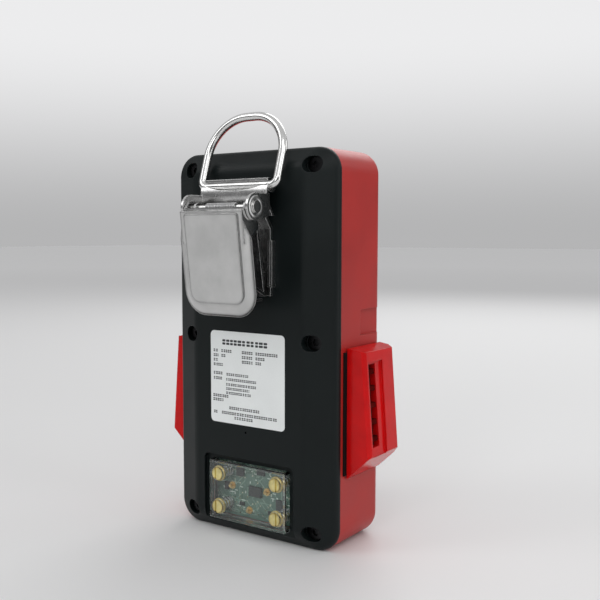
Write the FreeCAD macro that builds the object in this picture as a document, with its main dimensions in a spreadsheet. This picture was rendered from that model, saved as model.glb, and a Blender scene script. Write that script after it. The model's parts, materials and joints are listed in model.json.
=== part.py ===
"""Portable gas detector: a crowned rear cover and a front shell around the boards, the battery and
four sensors, with alarm lenses on both sides, a sprung charging window and a belt clip with a D-ring.

The frame: origin at the middle of the flat base, +Z up along the case, the display faces -Y, the
clip side faces +Y. All sizes are millimetres and degrees.
"""
import FreeCAD, Part
import math
import os
import Sketcher

SIZES = {
    # case
    "case_width": 65.9, "case_height": 130, "case_corner": 7.8, "wall": 2.2, "fit_gap": 0.1,
    "plateau_y": 16, "parting_y": 9.9, "front_y": -16.1, "front_round": 4,
    "crown_drop": 4.2, "crown_side": 10.4, "crown_end": 5.6, "crown_corner": 3,
    "rim_round": 2.2, "crease_round": 6, "roof_side": 12.4, "roof_end": 5.5, "roof_corner": 2,
    "seal_inset": 0.6, "seal_width": 1, "seal_depth": 0.5,
    # six case screws
    "screw_x": 24.9, "screw_low_z": 5.97, "screw_mid_z": 68.06, "screw_top_z": 124.4,
    "well_half": 3.2, "well_rise": 2.6, "well_corner": 2.55, "well_floor_y": 11,
    "boss_radius": 4.2, "boss_top_y": 12.4,
    "post_radius": 3.6, "shank_radius": 1.2, "shank_end_y": 2,
    "head_radius": 2.5, "head_height": 1.1, "hex_radius": 1.3, "hex_depth": 0.8,
    # label
    "label_half": 15.46, "label_low_z": 38.6, "label_high_z": 70, "label_corner": 1.5, "label_thick": 0.15,
    "vent_x": 0.65, "vent_z": 36.15, "vent_radius": 0.45, "vent_depth": 0.8,
    # charging window
    "recess_half": 18.8, "recess_top_z": 27.1, "recess_depth": 1.6, "recess_corner": 2,
    "window_half": 16.2, "window_low_z": 4.75, "window_high_z": 25.15, "window_face_y": 17.2,
    "window_wall": 1, "window_face": 1.5, "window_bevel": 0.7, "flange_side": 1.7, "flange_thick": 1.3,
    "contact_x": 12.1, "contact_low_z": 9.1, "contact_high_z": 20.6,
    "contact_radius": 2.2, "contact_proud": 0.15, "contact_flange_radius": 2.7, "contact_flange": 0.5,
    "contact_stem_radius": 0.9, "contact_stem_y": 10.75,
    "slot_width": 0.7, "slot_depth": 0.5, "slot_offset": 0.7,
    "spring_radius": 1.7, "spring_wire": 0.27, "spring_pitch": 1.5,
    # boards
    "charge_board_y": 9.5, "board_thick": 1.6, "charge_board_half": 19, "charge_board_top_z": 30,
    "main_board_y": 4.6, "main_board_half": 29.9, "main_board_low_z": 6, "main_board_high_z": 124,
    "front_board_y": -8.2, "front_board_thick": 1.2, "front_board_half": 21.2,
    "front_board_low_z": 17, "front_board_high_z": 78,
    "pin_radius": 0.6, "pin_height": 1.6, "collar_radius": 1.3, "collar_height": 0.4,
    "spacer_radius": 2, "spacer_x": 15, "spacer_low_z": 8, "spacer_high_z": 27,
    "board_post_x": 26, "board_post_low_z": 28, "board_post_high_z": 101.5, "board_post_radius": 2.5,
    "board_screw_radius": 1, "board_screw_head": 1.9, "board_screw_height": 1.4, "board_screw_length": 6,
    # display and keys
    "display_half": 20, "display_low_z": 43, "display_high_z": 73, "glass_rim": 2, "glass_thick": 1.2,
    "glass_corner": 2.5, "module_rim": 1, "module_margin": 3,
    "key_x": 17, "key_z": 25.5, "key_radius": 5.3, "key_proud": 0.9, "key_flange_radius": 6.3,
    "key_flange": 0.8, "key_stem_radius": 2, "key_stem": 0.9,
    "keypad_half": 21.2, "keypad_low_z": 18, "keypad_high_z": 33, "keypad_thick": 1.3, "switch_thick": 0.6,
    # sensors
    "sensor_x": 11.5, "sensor_low_z": 90, "sensor_high_z": 113, "sensor_radius": 10,
    "sensor_cap_radius": 8, "sensor_cap_height": 1.2, "inlet_radius": 6.5, "filter_radius": 7.5,
    "filter_thick": 0.4, "gasket_thick": 1.3, "gasket_margin": 1,
    "grille_half": 22.5, "grille_low_z": 79.5, "grille_high_z": 123.5, "grille_thick": 1.2,
    "grille_corner": 5, "grille_slot": 1.3, "grille_pitch": 2.6, "grille_slot_reach": 5.5,
    # sounder and motor
    "buzzer_x": 15, "buzzer_z": 10.5, "buzzer_radius": 6, "buzzer_height": 6.5, "port_radius": 0.8,
    "port_pitch": 2.6, "motor_x": -15, "motor_radius": 5, "motor_height": 3.4,
    # battery
    "battery_half": 19.5, "battery_low_z": 36.5, "battery_high_z": 77.5, "battery_back_y": 2.5,
    "tray_gap": 0.3, "tray_wall": 1.2,
    # alarm lenses
    "lens_seal_thick": 0.5, "lens_seal_margin": 1.3, "lens_seal_back_y": 8.6,
    "lens_back_y": 7, "lens_front_y": -14.2, "lens_root_high_z": 66.3, "lens_root_low_z": 23.8,
    "lens_tip_high_x": 39.7, "lens_tip_high_z": 65.3, "lens_tip_low_x": 42.2, "lens_tip_low_z": 32,
    "lens_bevel": 1.2, "lens_front_bevel": 3,
    "lens_pocket_back_y": 5, "lens_pocket_front_y": -4.2, "lens_pocket_low_z": 31.5,
    "lens_pocket_high_z": 62, "lens_pocket_depth": 0.8,
    "lens_slot_front_y": -0.5, "lens_slot_low_z": 34.5, "lens_slot_high_z": 61.2, "lens_slot_depth": 3.4,
    "plug_low_z": 30, "plug_high_z": 60, "plug_front_y": -8, "plug_back_y": 4, "plug_reach": 3,
    "light_well_inset": 2, "light_well_depth": 4.5,
    "lens_rib": 1.6, "lens_rib_pitch": 5.4, "lens_rib_base": 0.6,
    "led_radius": 1.5, "led_length": 3.4, "led_pitch": 8, "led_mid_z": 45, "led_y": -2,
    "led_board_thick": 1, "led_board_gap": 0.85, "led_board_half": 11, "led_board_front_y": -5,
    # side notches of the front shell
    "notch_depth": 1.2, "notch_low_z": 69.6, "notch_high_z": 78.1, "notch_back_y": -2,
    # belt clip
    "clip_y": 28.6, "clip_z": 111, "clip_tilt": 7.5, "sheet": 0.8, "clip_pin_radius": 0.8,
    "clip_running_gap": 0.05, "rivet_radius": 1.9, "rivet_height": 0.6,
    "base_half": 10.45, "base_thick": 1, "base_low_z": 82.7, "base_high_z": 104.3,
    "rail_half": 11.65, "rail_low_z": 85.6, "rail_high_z": 100.4, "rail_height": 1.8, "rail_slot": 0.5,
    "ear_inner": 12.7, "ear_radius": 4.3, "ear_low_z": 108.4,
    "bow_radius": 9, "bow_y": 14.1, "bow_z": 115, "bow_low_z": 111.4, "bow_high_z": 118.3,
    "cheek_half": 12.5, "rim_half": 14.5, "rim_top": 7.8, "rim_bottom": 34.2, "rim_level": 4.65,
    "rim_corner": 8, "rim_top_corner": 2, "panel_half": 11.6, "panel_top": 0.45, "panel_bottom": 30.6,
    "panel_level": 6, "panel_corner": 4.4, "tight_corner": 0.8, "emboss_inset": 0.9, "emboss": 0.5,
    "emboss_corner": 3.5,
    "jaw_half": 10.4, "jaw_foot_half": 8, "tooth_pitch": 2, "tooth_depth": 1.2,
    "clip_screw_x": 6, "clip_screw_z": 93, "clip_screw_radius": 1, "clip_screw_head": 2,
    "clip_screw_height": 1.2,
    "torsion_radius": 1.2, "torsion_wire": 0.25, "torsion_pitch": 0.6, "torsion_length": 12,
    # D-ring
    "ring_y": 20.3, "ring_z": 118.1, "ring_lean": 17.5, "ring_wire": 1.4, "ring_height": 23.9,
    "ring_half": 15.3, "ring_top_radius": 13.5, "ring_bend": 2.2,
    "saddle_half": 13.4, "saddle_bore": 1.55, "saddle_dip_radius": 42, "saddle_dip_z": 116.4,
    "curl_half": 12.6, "curl_low_z": 118.9,
}

# Side outlines of the belt clip. The lever's are (down the lever, away from the case) from the pin;
# the jaw's are (away from the crown, up from the base).
LEVER_CHEEK = [(0.1, 4.4), (-2.3, 1.9), (-2.3, -1.1), (6.7, -1.8), (9.4, 2.1)]
LEVER_INSIDE = [(1.25, 3.9), (-6, 3.9), (-6, -5), (15, -5)]
JAW_WEB = [(15, 101), (7.2, 105), (3.6, 82.6), (9.8, 85.6), (9.4, 86.6), (4.6, 84.2), (8, 104.1),
           (14.7, 100.1)]
JAW_ARMS = [(10.5, 103.4), (14.6, 101.2), (14.3, 111), (13.8, 112.2), (12.6, 112.7), (11.4, 112.2),
            (10.9, 111)]
JAW_FOOT = [(9, 86), (9, 81.8), (1.3, 81.8), (1.3, 81), (9.8, 81), (9.8, 86)]

# Board components, each as x, z, width, height and thickness.
CHARGE_PARTS = [(0.6, 14.6, 5.2, 3.4, 1), (7.2, 20.6, 3, 3, 0.9), (-9.4, 11.4, 2.6, 4, 0.8),
                (-1.6, 21.4, 3.2, 1.6, 0.7), (6.6, 9.4, 2, 1.2, 0.6), (-5.6, 8.2, 2, 1.2, 0.6),
                (13.2, 14.8, 1.6, 2.8, 0.7), (-13.6, 15.2, 1.6, 2.8, 0.7), (0.4, 27.4, 9, 3, 1.4)]
MAIN_PARTS = [(0, 60, 12, 12, 1.6), (-16, 58, 8, 6, 1.4), (15, 62, 5, 9, 1.8), (0, 82, 9, 7, 1.4),
              (-16, 84, 5, 5, 1.2), (16, 86, 6, 4, 1.2), (0, 104, 14, 5, 1.6), (0, 40, 16, 4, 3)]
TEST_PINS = [(10.9, 15.2), (-4.1, 15.3), (3.4, 7.6)]

doc = FreeCAD.newDocument("gas_detector")
sheet = doc.addObject("Spreadsheet::Sheet", "size")
for row, (alias, number) in enumerate(SIZES.items(), start=1):
    sheet.set(f"A{row}", alias)
    sheet.set(f"B{row}", str(number))
    sheet.setAlias(f"B{row}", alias)
doc.recompute()

ALONG_X = FreeCAD.Rotation(FreeCAD.Vector(0, 1, 0), 90)
ALONG_Y = FreeCAD.Rotation(FreeCAD.Vector(1, 0, 0), -90)
SCREW_PLACES = [(f"{side} * size.screw_x", f"size.screw_{level}_z")
                for side in (-1, 1) for level in ("low", "mid", "top")]


def value(expression):
    """The number that an expression gives now."""
    return float(sheet.evalExpression(str(expression)))


def bind(item, prop, expression):
    """Tie a property to the sheet."""
    item.setExpression(prop, str(expression))


# ---------------------------------------------------------------- solids that lie along the axes

def place(item, x, y, z, rotation=FreeCAD.Rotation()):
    """Turn an item, then tie its base point to three expressions."""
    item.Placement = FreeCAD.Placement(FreeCAD.Vector(), rotation)
    for axis, expression in zip("xyz", (x, y, z)):
        bind(item, f"Placement.Base.{axis}", expression)
    return item


def box(label, x, y, z):
    """A box between three pairs of expressions."""
    item = doc.addObject("Part::Box", label)
    for prop, (low, high) in zip(("Length", "Width", "Height"), (x, y, z)):
        bind(item, prop, f"({high}) - ({low})")
    return place(item, x[0], y[0], z[0])


def rod(label, radius, x, y, z):
    """A cylinder along Y between the pair y, at x and z."""
    item = doc.addObject("Part::Cylinder", label)
    bind(item, "Radius", radius)
    bind(item, "Height", f"({y[1]}) - ({y[0]})")
    return place(item, x, y[0], z, ALONG_Y)


def side_rod(label, radius, x, y, z):
    """A cylinder along X between the pair x, at y and z."""
    item = doc.addObject("Part::Cylinder", label)
    bind(item, "Radius", radius)
    bind(item, "Height", f"({x[1]}) - ({x[0]})")
    return place(item, x[0], y, z, ALONG_X)


def join(label, items):
    """One solid made of items that touch or overlap."""
    item = doc.addObject("Part::MultiFuse", label)
    item.Shapes = items
    item.Refine = True
    return item


def cut(label, base, tools):
    """The base with the tools taken out of it."""
    item = doc.addObject("Part::Cut", label)
    item.Base = base
    item.Tool = tools[0] if len(tools) == 1 else join(label + "_tools", tools)
    return item


def group(label, items):
    """Separate solids that share one node."""
    item = doc.addObject("Part::Compound", label)
    item.Links = items
    return item


def coil(label, radius, wire, pitch, length):
    """A coil spring along its own Z, its wire a circle of the radius wire."""
    helix = doc.addObject("Part::Helix", label + "_line")
    bind(helix, "Radius", radius)
    bind(helix, "Pitch", pitch)
    bind(helix, "Height", length)
    helix.SegmentLength = 1
    section = doc.addObject("Part::Circle", label + "_section")
    bind(section, "Radius", wire)
    place(section, radius, 0, 0, FreeCAD.Rotation(FreeCAD.Vector(1, 0, 0), 90))
    doc.recompute()
    item = doc.addObject("Part::Sweep", label)
    item.Sections = [section]
    item.Spine = (helix, [f"Edge{number}" for number in range(1, len(helix.Shape.Edges) + 1)])
    item.Solid = True
    item.Frenet = True
    return item


# ---------------------------------------------------------------- sketched bodies

def new_body(label):
    """An empty body with the node's name."""
    return doc.addObject("PartDesign::Body", label)


def new_sketch(body, plane, offset):
    """A sketch parallel to one of the body's own planes, at a distance along the plane's normal."""
    sketch = body.newObject("Sketcher::SketchObject", body.Name + "_sketch")
    support = next(item for item in body.Origin.OriginFeatures if item.Role == plane)
    sketch.AttachmentSupport = [(support, "")]
    sketch.MapMode = "FlatFace"
    bind(sketch, "AttachmentOffset.Base.z", offset)
    return sketch


def front_sketch(body, y):
    """A sketch in X and Z at a place along Y. It faces -Y."""
    return new_sketch(body, "XZ_Plane", f"-({y})")


def hold(sketch, kind, expression, *where):
    """A sketch dimension tied to the sheet."""
    number = sketch.addConstraint(Sketcher.Constraint(kind, *where, value(expression)))
    bind(sketch, f"Constraints[{number}]", expression)


def draw_outline(sketch, corners):
    """A closed outline of straight lines through the corners."""
    points = [FreeCAD.Vector(value(across), value(up), 0) for across, up in corners]
    count = len(points)
    first = sketch.GeometryCount
    for index, point in enumerate(points):
        sketch.addGeometry(Part.LineSegment(point, points[(index + 1) % count]))
    for index, (across, up) in enumerate(corners):
        following = first + (index + 1) % count
        sketch.addConstraint(Sketcher.Constraint("Coincident", first + index, 2, following, 1))
        hold(sketch, "DistanceX", across, -1, 1, first + index, 1)
        hold(sketch, "DistanceY", up, -1, 1, first + index, 1)
    return sketch


def draw_rounded(sketch, across, up, low_corner, high_corner=None):
    """A rectangle between two pairs of expressions, with one corner radius low and one high."""
    high_corner = high_corner or low_corner
    left, right, low, high = (value(side) for side in (*across, *up))
    radii = [value(low_corner), value(high_corner)]
    corners = [(right - radii[0], low + radii[0], -90), (right - radii[1], high - radii[1], 0),
               (left + radii[1], high - radii[1], 90), (left + radii[0], low + radii[0], 180)]
    arcs = []
    for (x, y, start), radius in zip(corners, (radii[0], radii[1], radii[1], radii[0])):
        circle = Part.Circle(FreeCAD.Vector(x, y, 0), FreeCAD.Vector(0, 0, 1), radius)
        arcs.append(Part.ArcOfCircle(circle, math.radians(start), math.radians(start + 90)))
    first = sketch.GeometryCount
    for index, arc in enumerate(arcs):
        sketch.addGeometry(Part.LineSegment(arcs[index - 1].EndPoint, arc.StartPoint))
        sketch.addGeometry(arc)
    for index in range(8):
        following = first + (index + 1) % 8
        sketch.addConstraint(Sketcher.Constraint("Tangent", first + index, 2, following, 1))
    for kind, line in (("Horizontal", 0), ("Vertical", 2), ("Horizontal", 4), ("Vertical", 6)):
        sketch.addConstraint(Sketcher.Constraint(kind, first + line))
    sketch.addConstraint(Sketcher.Constraint("Equal", first + 1, first + 7))
    sketch.addConstraint(Sketcher.Constraint("Equal", first + 3, first + 5))
    hold(sketch, "Radius", low_corner, first + 1)
    hold(sketch, "Radius", high_corner, first + 3)
    hold(sketch, "DistanceY", up[0], -1, 1, first, 1)
    hold(sketch, "DistanceX", across[1], -1, 1, first + 2, 1)
    hold(sketch, "DistanceY", up[1], -1, 1, first + 4, 1)
    hold(sketch, "DistanceX", across[0], -1, 1, first + 6, 1)
    return sketch


def draw_circles(sketch, places, radius):
    """Equal circles at the given places."""
    for across, up in places:
        centre = FreeCAD.Vector(value(across), value(up), 0)
        number = sketch.addGeometry(Part.Circle(centre, FreeCAD.Vector(0, 0, 1), value(radius)))
        hold(sketch, "Radius", radius, number)
        hold(sketch, "DistanceX", across, -1, 1, number, 3)
        hold(sketch, "DistanceY", up, -1, 1, number, 3)
    return sketch


def extrude(body, kind, sketch, length, reverse=False, midplane=False):
    """A Pad along the sketch's normal, or a Pocket against it, or the other way with reverse."""
    feature = body.newObject("PartDesign::" + kind, body.Name + "_" + kind.lower())
    feature.Profile = sketch
    bind(feature, "Length", length)
    feature.Reversed = reverse
    feature.Midplane = midplane
    doc.recompute()
    return feature


def loft(body, kind, start, end):
    """An AdditiveLoft or SubtractiveLoft with straight sides between two sketches."""
    feature = body.newObject("PartDesign::" + kind, body.Name + "_loft")
    feature.Profile = start
    feature.Sections = [end]
    feature.Ruled = True
    doc.recompute()
    return feature


def soften(body, kind, size, chosen):
    """A Fillet or Chamfer on the edges of the body that the test chooses."""
    base = body.Tip
    names = [f"Edge{number}" for number, edge in enumerate(base.Shape.Edges, start=1) if chosen(edge)]
    feature = body.newObject("PartDesign::" + kind, body.Name + "_" + kind.lower())
    feature.Base = (base, names)
    bind(feature, "Radius" if kind == "Fillet" else "Size", size)
    doc.recompute()
    return feature


def lies_at_y(y):
    """A test for edges that lie at one place along Y."""
    def test(edge):
        bounds = edge.BoundBox
        return abs(bounds.YMin - y) < 0.01 and abs(bounds.YMax - y) < 0.01
    return test


def case_outline(body, y, inset, corner):
    """The case's outline at a place along Y, drawn in by an inset."""
    across = (f"{inset} - size.case_width / 2", f"size.case_width / 2 - {inset}")
    return draw_rounded(front_sketch(body, y), across, (inset, f"size.case_height - {inset}"), corner)


def crown_outline(body, y, side, end, corner):
    """The outline of the crown's flat top, or of the roof beneath it."""
    across = (f"{side} - size.case_width / 2", f"size.case_width / 2 - {side}")
    return draw_rounded(front_sketch(body, y), across, (end, f"size.case_height - {end}"), corner)


# ---------------------------------------------------------------- case

def rear_cover():
    """Crowned rear half of the case."""
    body = new_body("rear_cover")
    shoulder = "size.plateau_y - size.crown_drop"
    rim = case_outline(body, "size.parting_y", 0, "size.case_corner")
    extrude(body, "Pad", rim, f"{shoulder} - size.parting_y", reverse=True)
    loft(body, "AdditiveLoft", case_outline(body, shoulder, 0, "size.case_corner"),
         crown_outline(body, "size.plateau_y", "size.crown_side", "size.crown_end", "size.crown_corner"))
    soften(body, "Fillet", "size.rim_round", lies_at_y(value(shoulder)))
    soften(body, "Fillet", "size.crease_round", lies_at_y(value("size.plateau_y")))
    inner_corner = "size.case_corner - size.wall"
    loft(body, "SubtractiveLoft", case_outline(body, "size.parting_y", "size.wall", inner_corner),
         crown_outline(body, "size.plateau_y - size.wall + size.fit_gap", "size.roof_side",
                       "size.roof_end", "size.roof_corner"))
    bosses = draw_circles(front_sketch(body, "size.parting_y"), SCREW_PLACES, "size.boss_radius")
    extrude(body, "Pad", bosses, "size.boss_top_y - size.parting_y", reverse=True)
    top = "size.plateau_y + 1"
    wells = front_sketch(body, top)
    for x, z in SCREW_PLACES:
        draw_rounded(wells, (f"{x} - size.well_half", f"{x} + size.well_half"),
                     (f"{z} - size.well_rise", f"{z} + size.well_rise"), "size.well_corner")
    extrude(body, "Pocket", wells, f"{top} - size.well_floor_y", reverse=True)
    shanks = draw_circles(front_sketch(body, top), SCREW_PLACES, "size.shank_radius + size.fit_gap")
    extrude(body, "Pocket", shanks, f"{top} - size.parting_y", reverse=True)
    recess = draw_rounded(front_sketch(body, top), ("-size.recess_half", "size.recess_half"),
                          ("-size.window_low_z", "size.recess_top_z"), "size.recess_corner")
    extrude(body, "Pocket", recess, "size.recess_depth + 1", reverse=True)
    half = "size.window_half + size.fit_gap"
    opening = draw_rounded(front_sketch(body, top), (f"-({half})", half),
                           ("size.window_low_z - size.fit_gap", "size.window_high_z + size.fit_gap"),
                           "size.tight_corner + size.fit_gap")
    extrude(body, "Pocket", opening, f"{top} - size.parting_y", reverse=True)
    vent = draw_circles(front_sketch(body, "size.plateau_y"), [("size.vent_x", "size.vent_z")],
                        "size.vent_radius")
    extrude(body, "Pocket", vent, "size.vent_depth", reverse=True)
    clip_holes = [(f"{side} * size.clip_screw_x", "size.clip_screw_z") for side in (-1, 1)]
    holes = draw_circles(front_sketch(body, top), clip_holes, "size.clip_screw_radius + size.fit_gap")
    extrude(body, "Pocket", holes, f"{top} - size.parting_y", reverse=True)
    return body


def front_shell():
    """Front half of the case, with its posts and openings."""
    body = new_body("front_shell")
    inner_front = "size.front_y + size.wall"
    depth = "size.parting_y - size.front_y"
    extrude(body, "Pad", case_outline(body, "size.parting_y", 0, "size.case_corner"), depth)
    soften(body, "Fillet", "size.front_round", lies_at_y(value("size.front_y")))
    inside = case_outline(body, inner_front, "size.wall", "size.case_corner - size.wall")
    extrude(body, "Pocket", inside, depth)
    posts = draw_circles(front_sketch(body, "size.parting_y"), SCREW_PLACES, "size.post_radius")
    extrude(body, "Pad", posts, f"size.parting_y - ({inner_front})")
    board_posts = [(f"{side} * size.board_post_x", f"size.board_post_{level}_z")
                   for side in (-1, 1) for level in ("low", "high")]
    board_y = "size.main_board_y - size.board_thick"
    stands = draw_circles(front_sketch(body, board_y), board_posts, "size.board_post_radius")
    extrude(body, "Pad", stands, f"{board_y} - ({inner_front})")
    pilots = draw_circles(front_sketch(body, "size.shank_end_y - 1"), SCREW_PLACES, "size.shank_radius")
    extrude(body, "Pocket", pilots, depth)
    threads = draw_circles(front_sketch(body, f"{board_y} - size.board_screw_length"), board_posts,
                           "size.board_screw_radius")
    extrude(body, "Pocket", threads, depth)
    groove_at = front_sketch(body, "size.parting_y - size.seal_depth")
    groove_edges(groove_at)
    extrude(body, "Pocket", groove_at, "size.seal_depth")
    front_openings(body)
    tools = []
    for name, side in (("left", -1), ("right", 1)):
        reach = side_pair(side, "size.case_width / 2 - size.wall - 1", "size.case_width / 2 + 1")
        tools.append(box(f"lens_opening_{name}", reach, ("size.plug_front_y", "size.plug_back_y"),
                         ("size.plug_low_z", "size.plug_high_z")))
        reach = side_pair(side, "size.case_width / 2 - size.notch_depth", "size.case_width / 2 + 1")
        tools.append(box(f"side_notch_{name}", reach, ("size.front_y - 1", "size.notch_back_y"),
                         ("size.notch_low_z", "size.notch_high_z")))
    body.Label = "front_shell_body"
    return cut("front_shell_case", body, tools)


def groove_edges(sketch):
    """The two outlines of the seal's groove, in one sketch."""
    for inset in ("size.seal_inset", "(size.seal_inset + size.seal_width)"):
        across = (f"{inset} - size.case_width / 2", f"size.case_width / 2 - {inset}")
        draw_rounded(sketch, across, (inset, f"size.case_height - {inset}"), f"size.case_corner - {inset}")


def front_openings(body):
    """Display, key, sensor and sounder openings in the front wall."""
    start = "size.front_y"
    through = "size.wall + 1"
    glass_half = "size.display_half + size.glass_rim"
    seat = draw_rounded(front_sketch(body, start), (f"-({glass_half})", glass_half),
                        ("size.display_low_z - size.glass_rim", "size.display_high_z + size.glass_rim"),
                        "size.glass_corner")
    extrude(body, "Pocket", seat, "size.glass_thick")
    view = draw_rounded(front_sketch(body, start), ("-size.display_half", "size.display_half"),
                        ("size.display_low_z", "size.display_high_z"), "size.tight_corner")
    extrude(body, "Pocket", view, through)
    plate = draw_rounded(front_sketch(body, start), ("-size.grille_half", "size.grille_half"),
                         ("size.grille_low_z", "size.grille_high_z"), "size.grille_corner")
    extrude(body, "Pocket", plate, "size.grille_thick")
    inlets = draw_circles(front_sketch(body, start), sensor_places(), "size.inlet_radius")
    extrude(body, "Pocket", inlets, through)
    keys = [(f"{step} * size.key_x", "size.key_z") for step in (-1, 0, 1)]
    holes = draw_circles(front_sketch(body, start), keys, "size.key_radius + size.fit_gap")
    extrude(body, "Pocket", holes, through)
    ports = [(f"size.buzzer_x + {step} * size.port_pitch", "size.buzzer_z") for step in (-1, 0, 1)]
    extrude(body, "Pocket", draw_circles(front_sketch(body, start), ports, "size.port_radius"), through)


def sensor_places():
    """Where the four sensors stand."""
    return [(f"{side} * size.sensor_x", f"size.sensor_{level}_z")
            for side in (-1, 1) for level in ("low", "high")]


def side_pair(side, inner, outer):
    """A pair of X limits on the side -1 or 1, from the smaller to the larger."""
    return (inner, outer) if side > 0 else (f"-({outer})", f"-({inner})")


def case_seal():
    """Rubber cord in the groove of the front shell's rim."""
    body = new_body("case_seal")
    ring = front_sketch(body, "size.parting_y")
    groove_edges(ring)
    extrude(body, "Pad", ring, "size.seal_depth")
    return body


def screw(label, x, z, head_y, sizes, sense=1):
    """A screw along Y: head_y is the head's seat, sense the way from the seat to the head."""
    head_radius, head_height, shank_radius, shank_length = sizes
    seat_to_top = (head_y, f"{head_y} + {head_height}")
    seat_to_tip = (f"{head_y} - ({shank_length})", head_y)
    if sense < 0:
        seat_to_top = (f"{head_y} - {head_height}", head_y)
        seat_to_tip = (head_y, f"{head_y} + ({shank_length})")
    head = rod(label + "_head", head_radius, x, seat_to_top, z)
    shank = rod(label + "_shank", shank_radius, x, seat_to_tip, z)
    return join(label, [head, shank])


def case_screws():
    """Six hexagon socket screws that close the case."""
    items = []
    sizes = ("size.head_radius", "size.head_height", "size.shank_radius",
             "size.well_floor_y - size.shank_end_y")
    for number, (x, z) in enumerate(SCREW_PLACES, start=1):
        blank = screw(f"case_screw_blank_{number}", x, z, "size.well_floor_y", sizes)
        socket = doc.addObject("Part::Prism", f"case_screw_socket_{number}")
        bind(socket, "Circumradius", "size.hex_radius")
        bind(socket, "Height", "size.hex_depth")
        place(socket, x, "size.well_floor_y + size.head_height - size.hex_depth", z, ALONG_Y)
        items.append(cut(f"case_screw_{number}", blank, [socket]))
    return group("case_screws", items)


def rear_label():
    """Thin label plate on the crown's flat top."""
    body = new_body("rear_label")
    outline = draw_rounded(front_sketch(body, "size.plateau_y"), ("-size.label_half", "size.label_half"),
                           ("size.label_low_z", "size.label_high_z"), "size.label_corner")
    extrude(body, "Pad", outline, "size.label_thick", reverse=True)
    return body


# ---------------------------------------------------------------- charging window

def contact_places():
    """Where the four charging contacts stand."""
    return [(f"{side} * size.contact_x", f"size.contact_{level}_z")
            for level in ("high", "low") for side in (-1, 1)]


def contact_window():
    """Clear block with a hollow back, a flange inside the cover and four contact holes."""
    back = "size.plateau_y - size.wall - size.flange_thick + size.fit_gap"
    block = new_body("window_block")
    outline = draw_rounded(front_sketch(block, back), ("-size.window_half", "size.window_half"),
                           ("size.window_low_z", "size.window_high_z"), "size.tight_corner")
    extrude(block, "Pad", outline, f"size.window_face_y - ({back})", reverse=True)
    soften(block, "Chamfer", "size.window_bevel", lies_at_y(value("size.window_face_y")))
    wide = "size.window_half + size.flange_side"
    flange = box("window_flange", (f"-({wide})", wide), (back, f"{back} + size.flange_thick"),
                 ("size.window_low_z + size.window_wall", "size.window_high_z + size.flange_side"))
    inner = "size.window_half - size.window_wall"
    hollow = box("window_hollow", (f"-({inner})", inner),
                 ("size.parting_y", "size.window_face_y - size.window_face"),
                 ("size.window_low_z + size.window_wall", "size.window_high_z - size.window_wall"))
    holes = [rod(f"window_hole_{number}", "size.contact_radius + size.fit_gap", x,
                 ("size.parting_y", "size.window_face_y + 1"), z)
             for number, (x, z) in enumerate(contact_places(), start=1)]
    return cut("contact_window", join("window_solid", [block, flange]), [hollow] + holes)


def charge_contact(number, x, z, side):
    """Brass contact that presses in: a slotted head, a flange behind the window and a stem."""
    name = f"charge_contact_{number}"
    flange_y = "size.window_face_y - size.window_face - size.fit_gap"
    top = "size.window_face_y + size.contact_proud"
    head = rod(name + "_head", "size.contact_radius", x, (f"{flange_y} - size.contact_flange", top), z)
    flange = rod(name + "_flange", "size.contact_flange_radius", x,
                 (f"{flange_y} - size.contact_flange", flange_y), z)
    stem = rod(name + "_stem", "size.contact_stem_radius", x, ("size.contact_stem_y", flange_y), z)
    middle = f"{x} + {side} * size.slot_offset"
    slot = box(name + "_slot", (f"{middle} - size.slot_width / 2", f"{middle} + size.slot_width / 2"),
               (f"{top} - size.slot_depth", f"{top} + 1"),
               (f"{z} - size.contact_radius", f"{z} + size.contact_radius"))
    return cut(name, join(name + "_blank", [head, flange, stem]), [slot])


def contact_springs():
    """Coil springs between the charging board and the contacts' flanges."""
    items = []
    seat = "size.charge_board_y + size.spring_wire"
    flange_y = "size.window_face_y - size.window_face - size.fit_gap - size.contact_flange"
    for number, (x, z) in enumerate(contact_places(), start=1):
        spring = coil(f"contact_spring_{number}", "size.spring_radius", "size.spring_wire",
                      "size.spring_pitch", f"{flange_y} - size.spring_wire - ({seat})")
        items.append(place(spring, x, seat, z, ALONG_Y))
    return items


# ---------------------------------------------------------------- boards

def charge_board():
    """Circuit board under the charging window."""
    half = "size.charge_board_half"
    return box("charge_board", (f"-{half}", half),
               ("size.charge_board_y - size.board_thick", "size.charge_board_y"),
               ("size.window_low_z", "size.charge_board_top_z"))


def chips(label, board_y, places):
    """Flat components on a board's rear face: each is x, z, width, height, thickness."""
    items = []
    for number, (x, z, width, height, thick) in enumerate(places, start=1):
        items.append(box(f"{label}_{number}", (x - width / 2, x + width / 2),
                         (board_y, f"{board_y} + {thick}"), (z - height / 2, z + height / 2)))
    return group(label, items)


def charge_board_parts():
    """Chips, resistors and capacitors of the charging board."""
    return chips("charge_board_parts", "size.charge_board_y", CHARGE_PARTS)


def board_pins():
    """Three brass test pins with soldered collars on the charging board."""
    items = []
    for number, (x, z) in enumerate(TEST_PINS, start=1):
        tip = rod(f"pin_tip_{number}", "size.pin_radius", x,
                  ("size.charge_board_y", "size.charge_board_y + size.pin_height"), z)
        collar = rod(f"pin_collar_{number}", "size.collar_radius", x,
                     ("size.charge_board_y", "size.charge_board_y + size.collar_height"), z)
        items.append(join(f"board_pin_{number}", [tip, collar]))
    return group("board_pins", items)


def board_spacers():
    """Four spacers between the main board and the charging board."""
    places = [(f"{side} * size.spacer_x", f"size.spacer_{level}_z")
              for side in (-1, 1) for level in ("low", "high")]
    length = ("size.main_board_y", "size.charge_board_y - size.board_thick")
    return group("board_spacers", [rod(f"board_spacer_{number}", "size.spacer_radius", x, length, z)
                                   for number, (x, z) in enumerate(places, start=1)])


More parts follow.
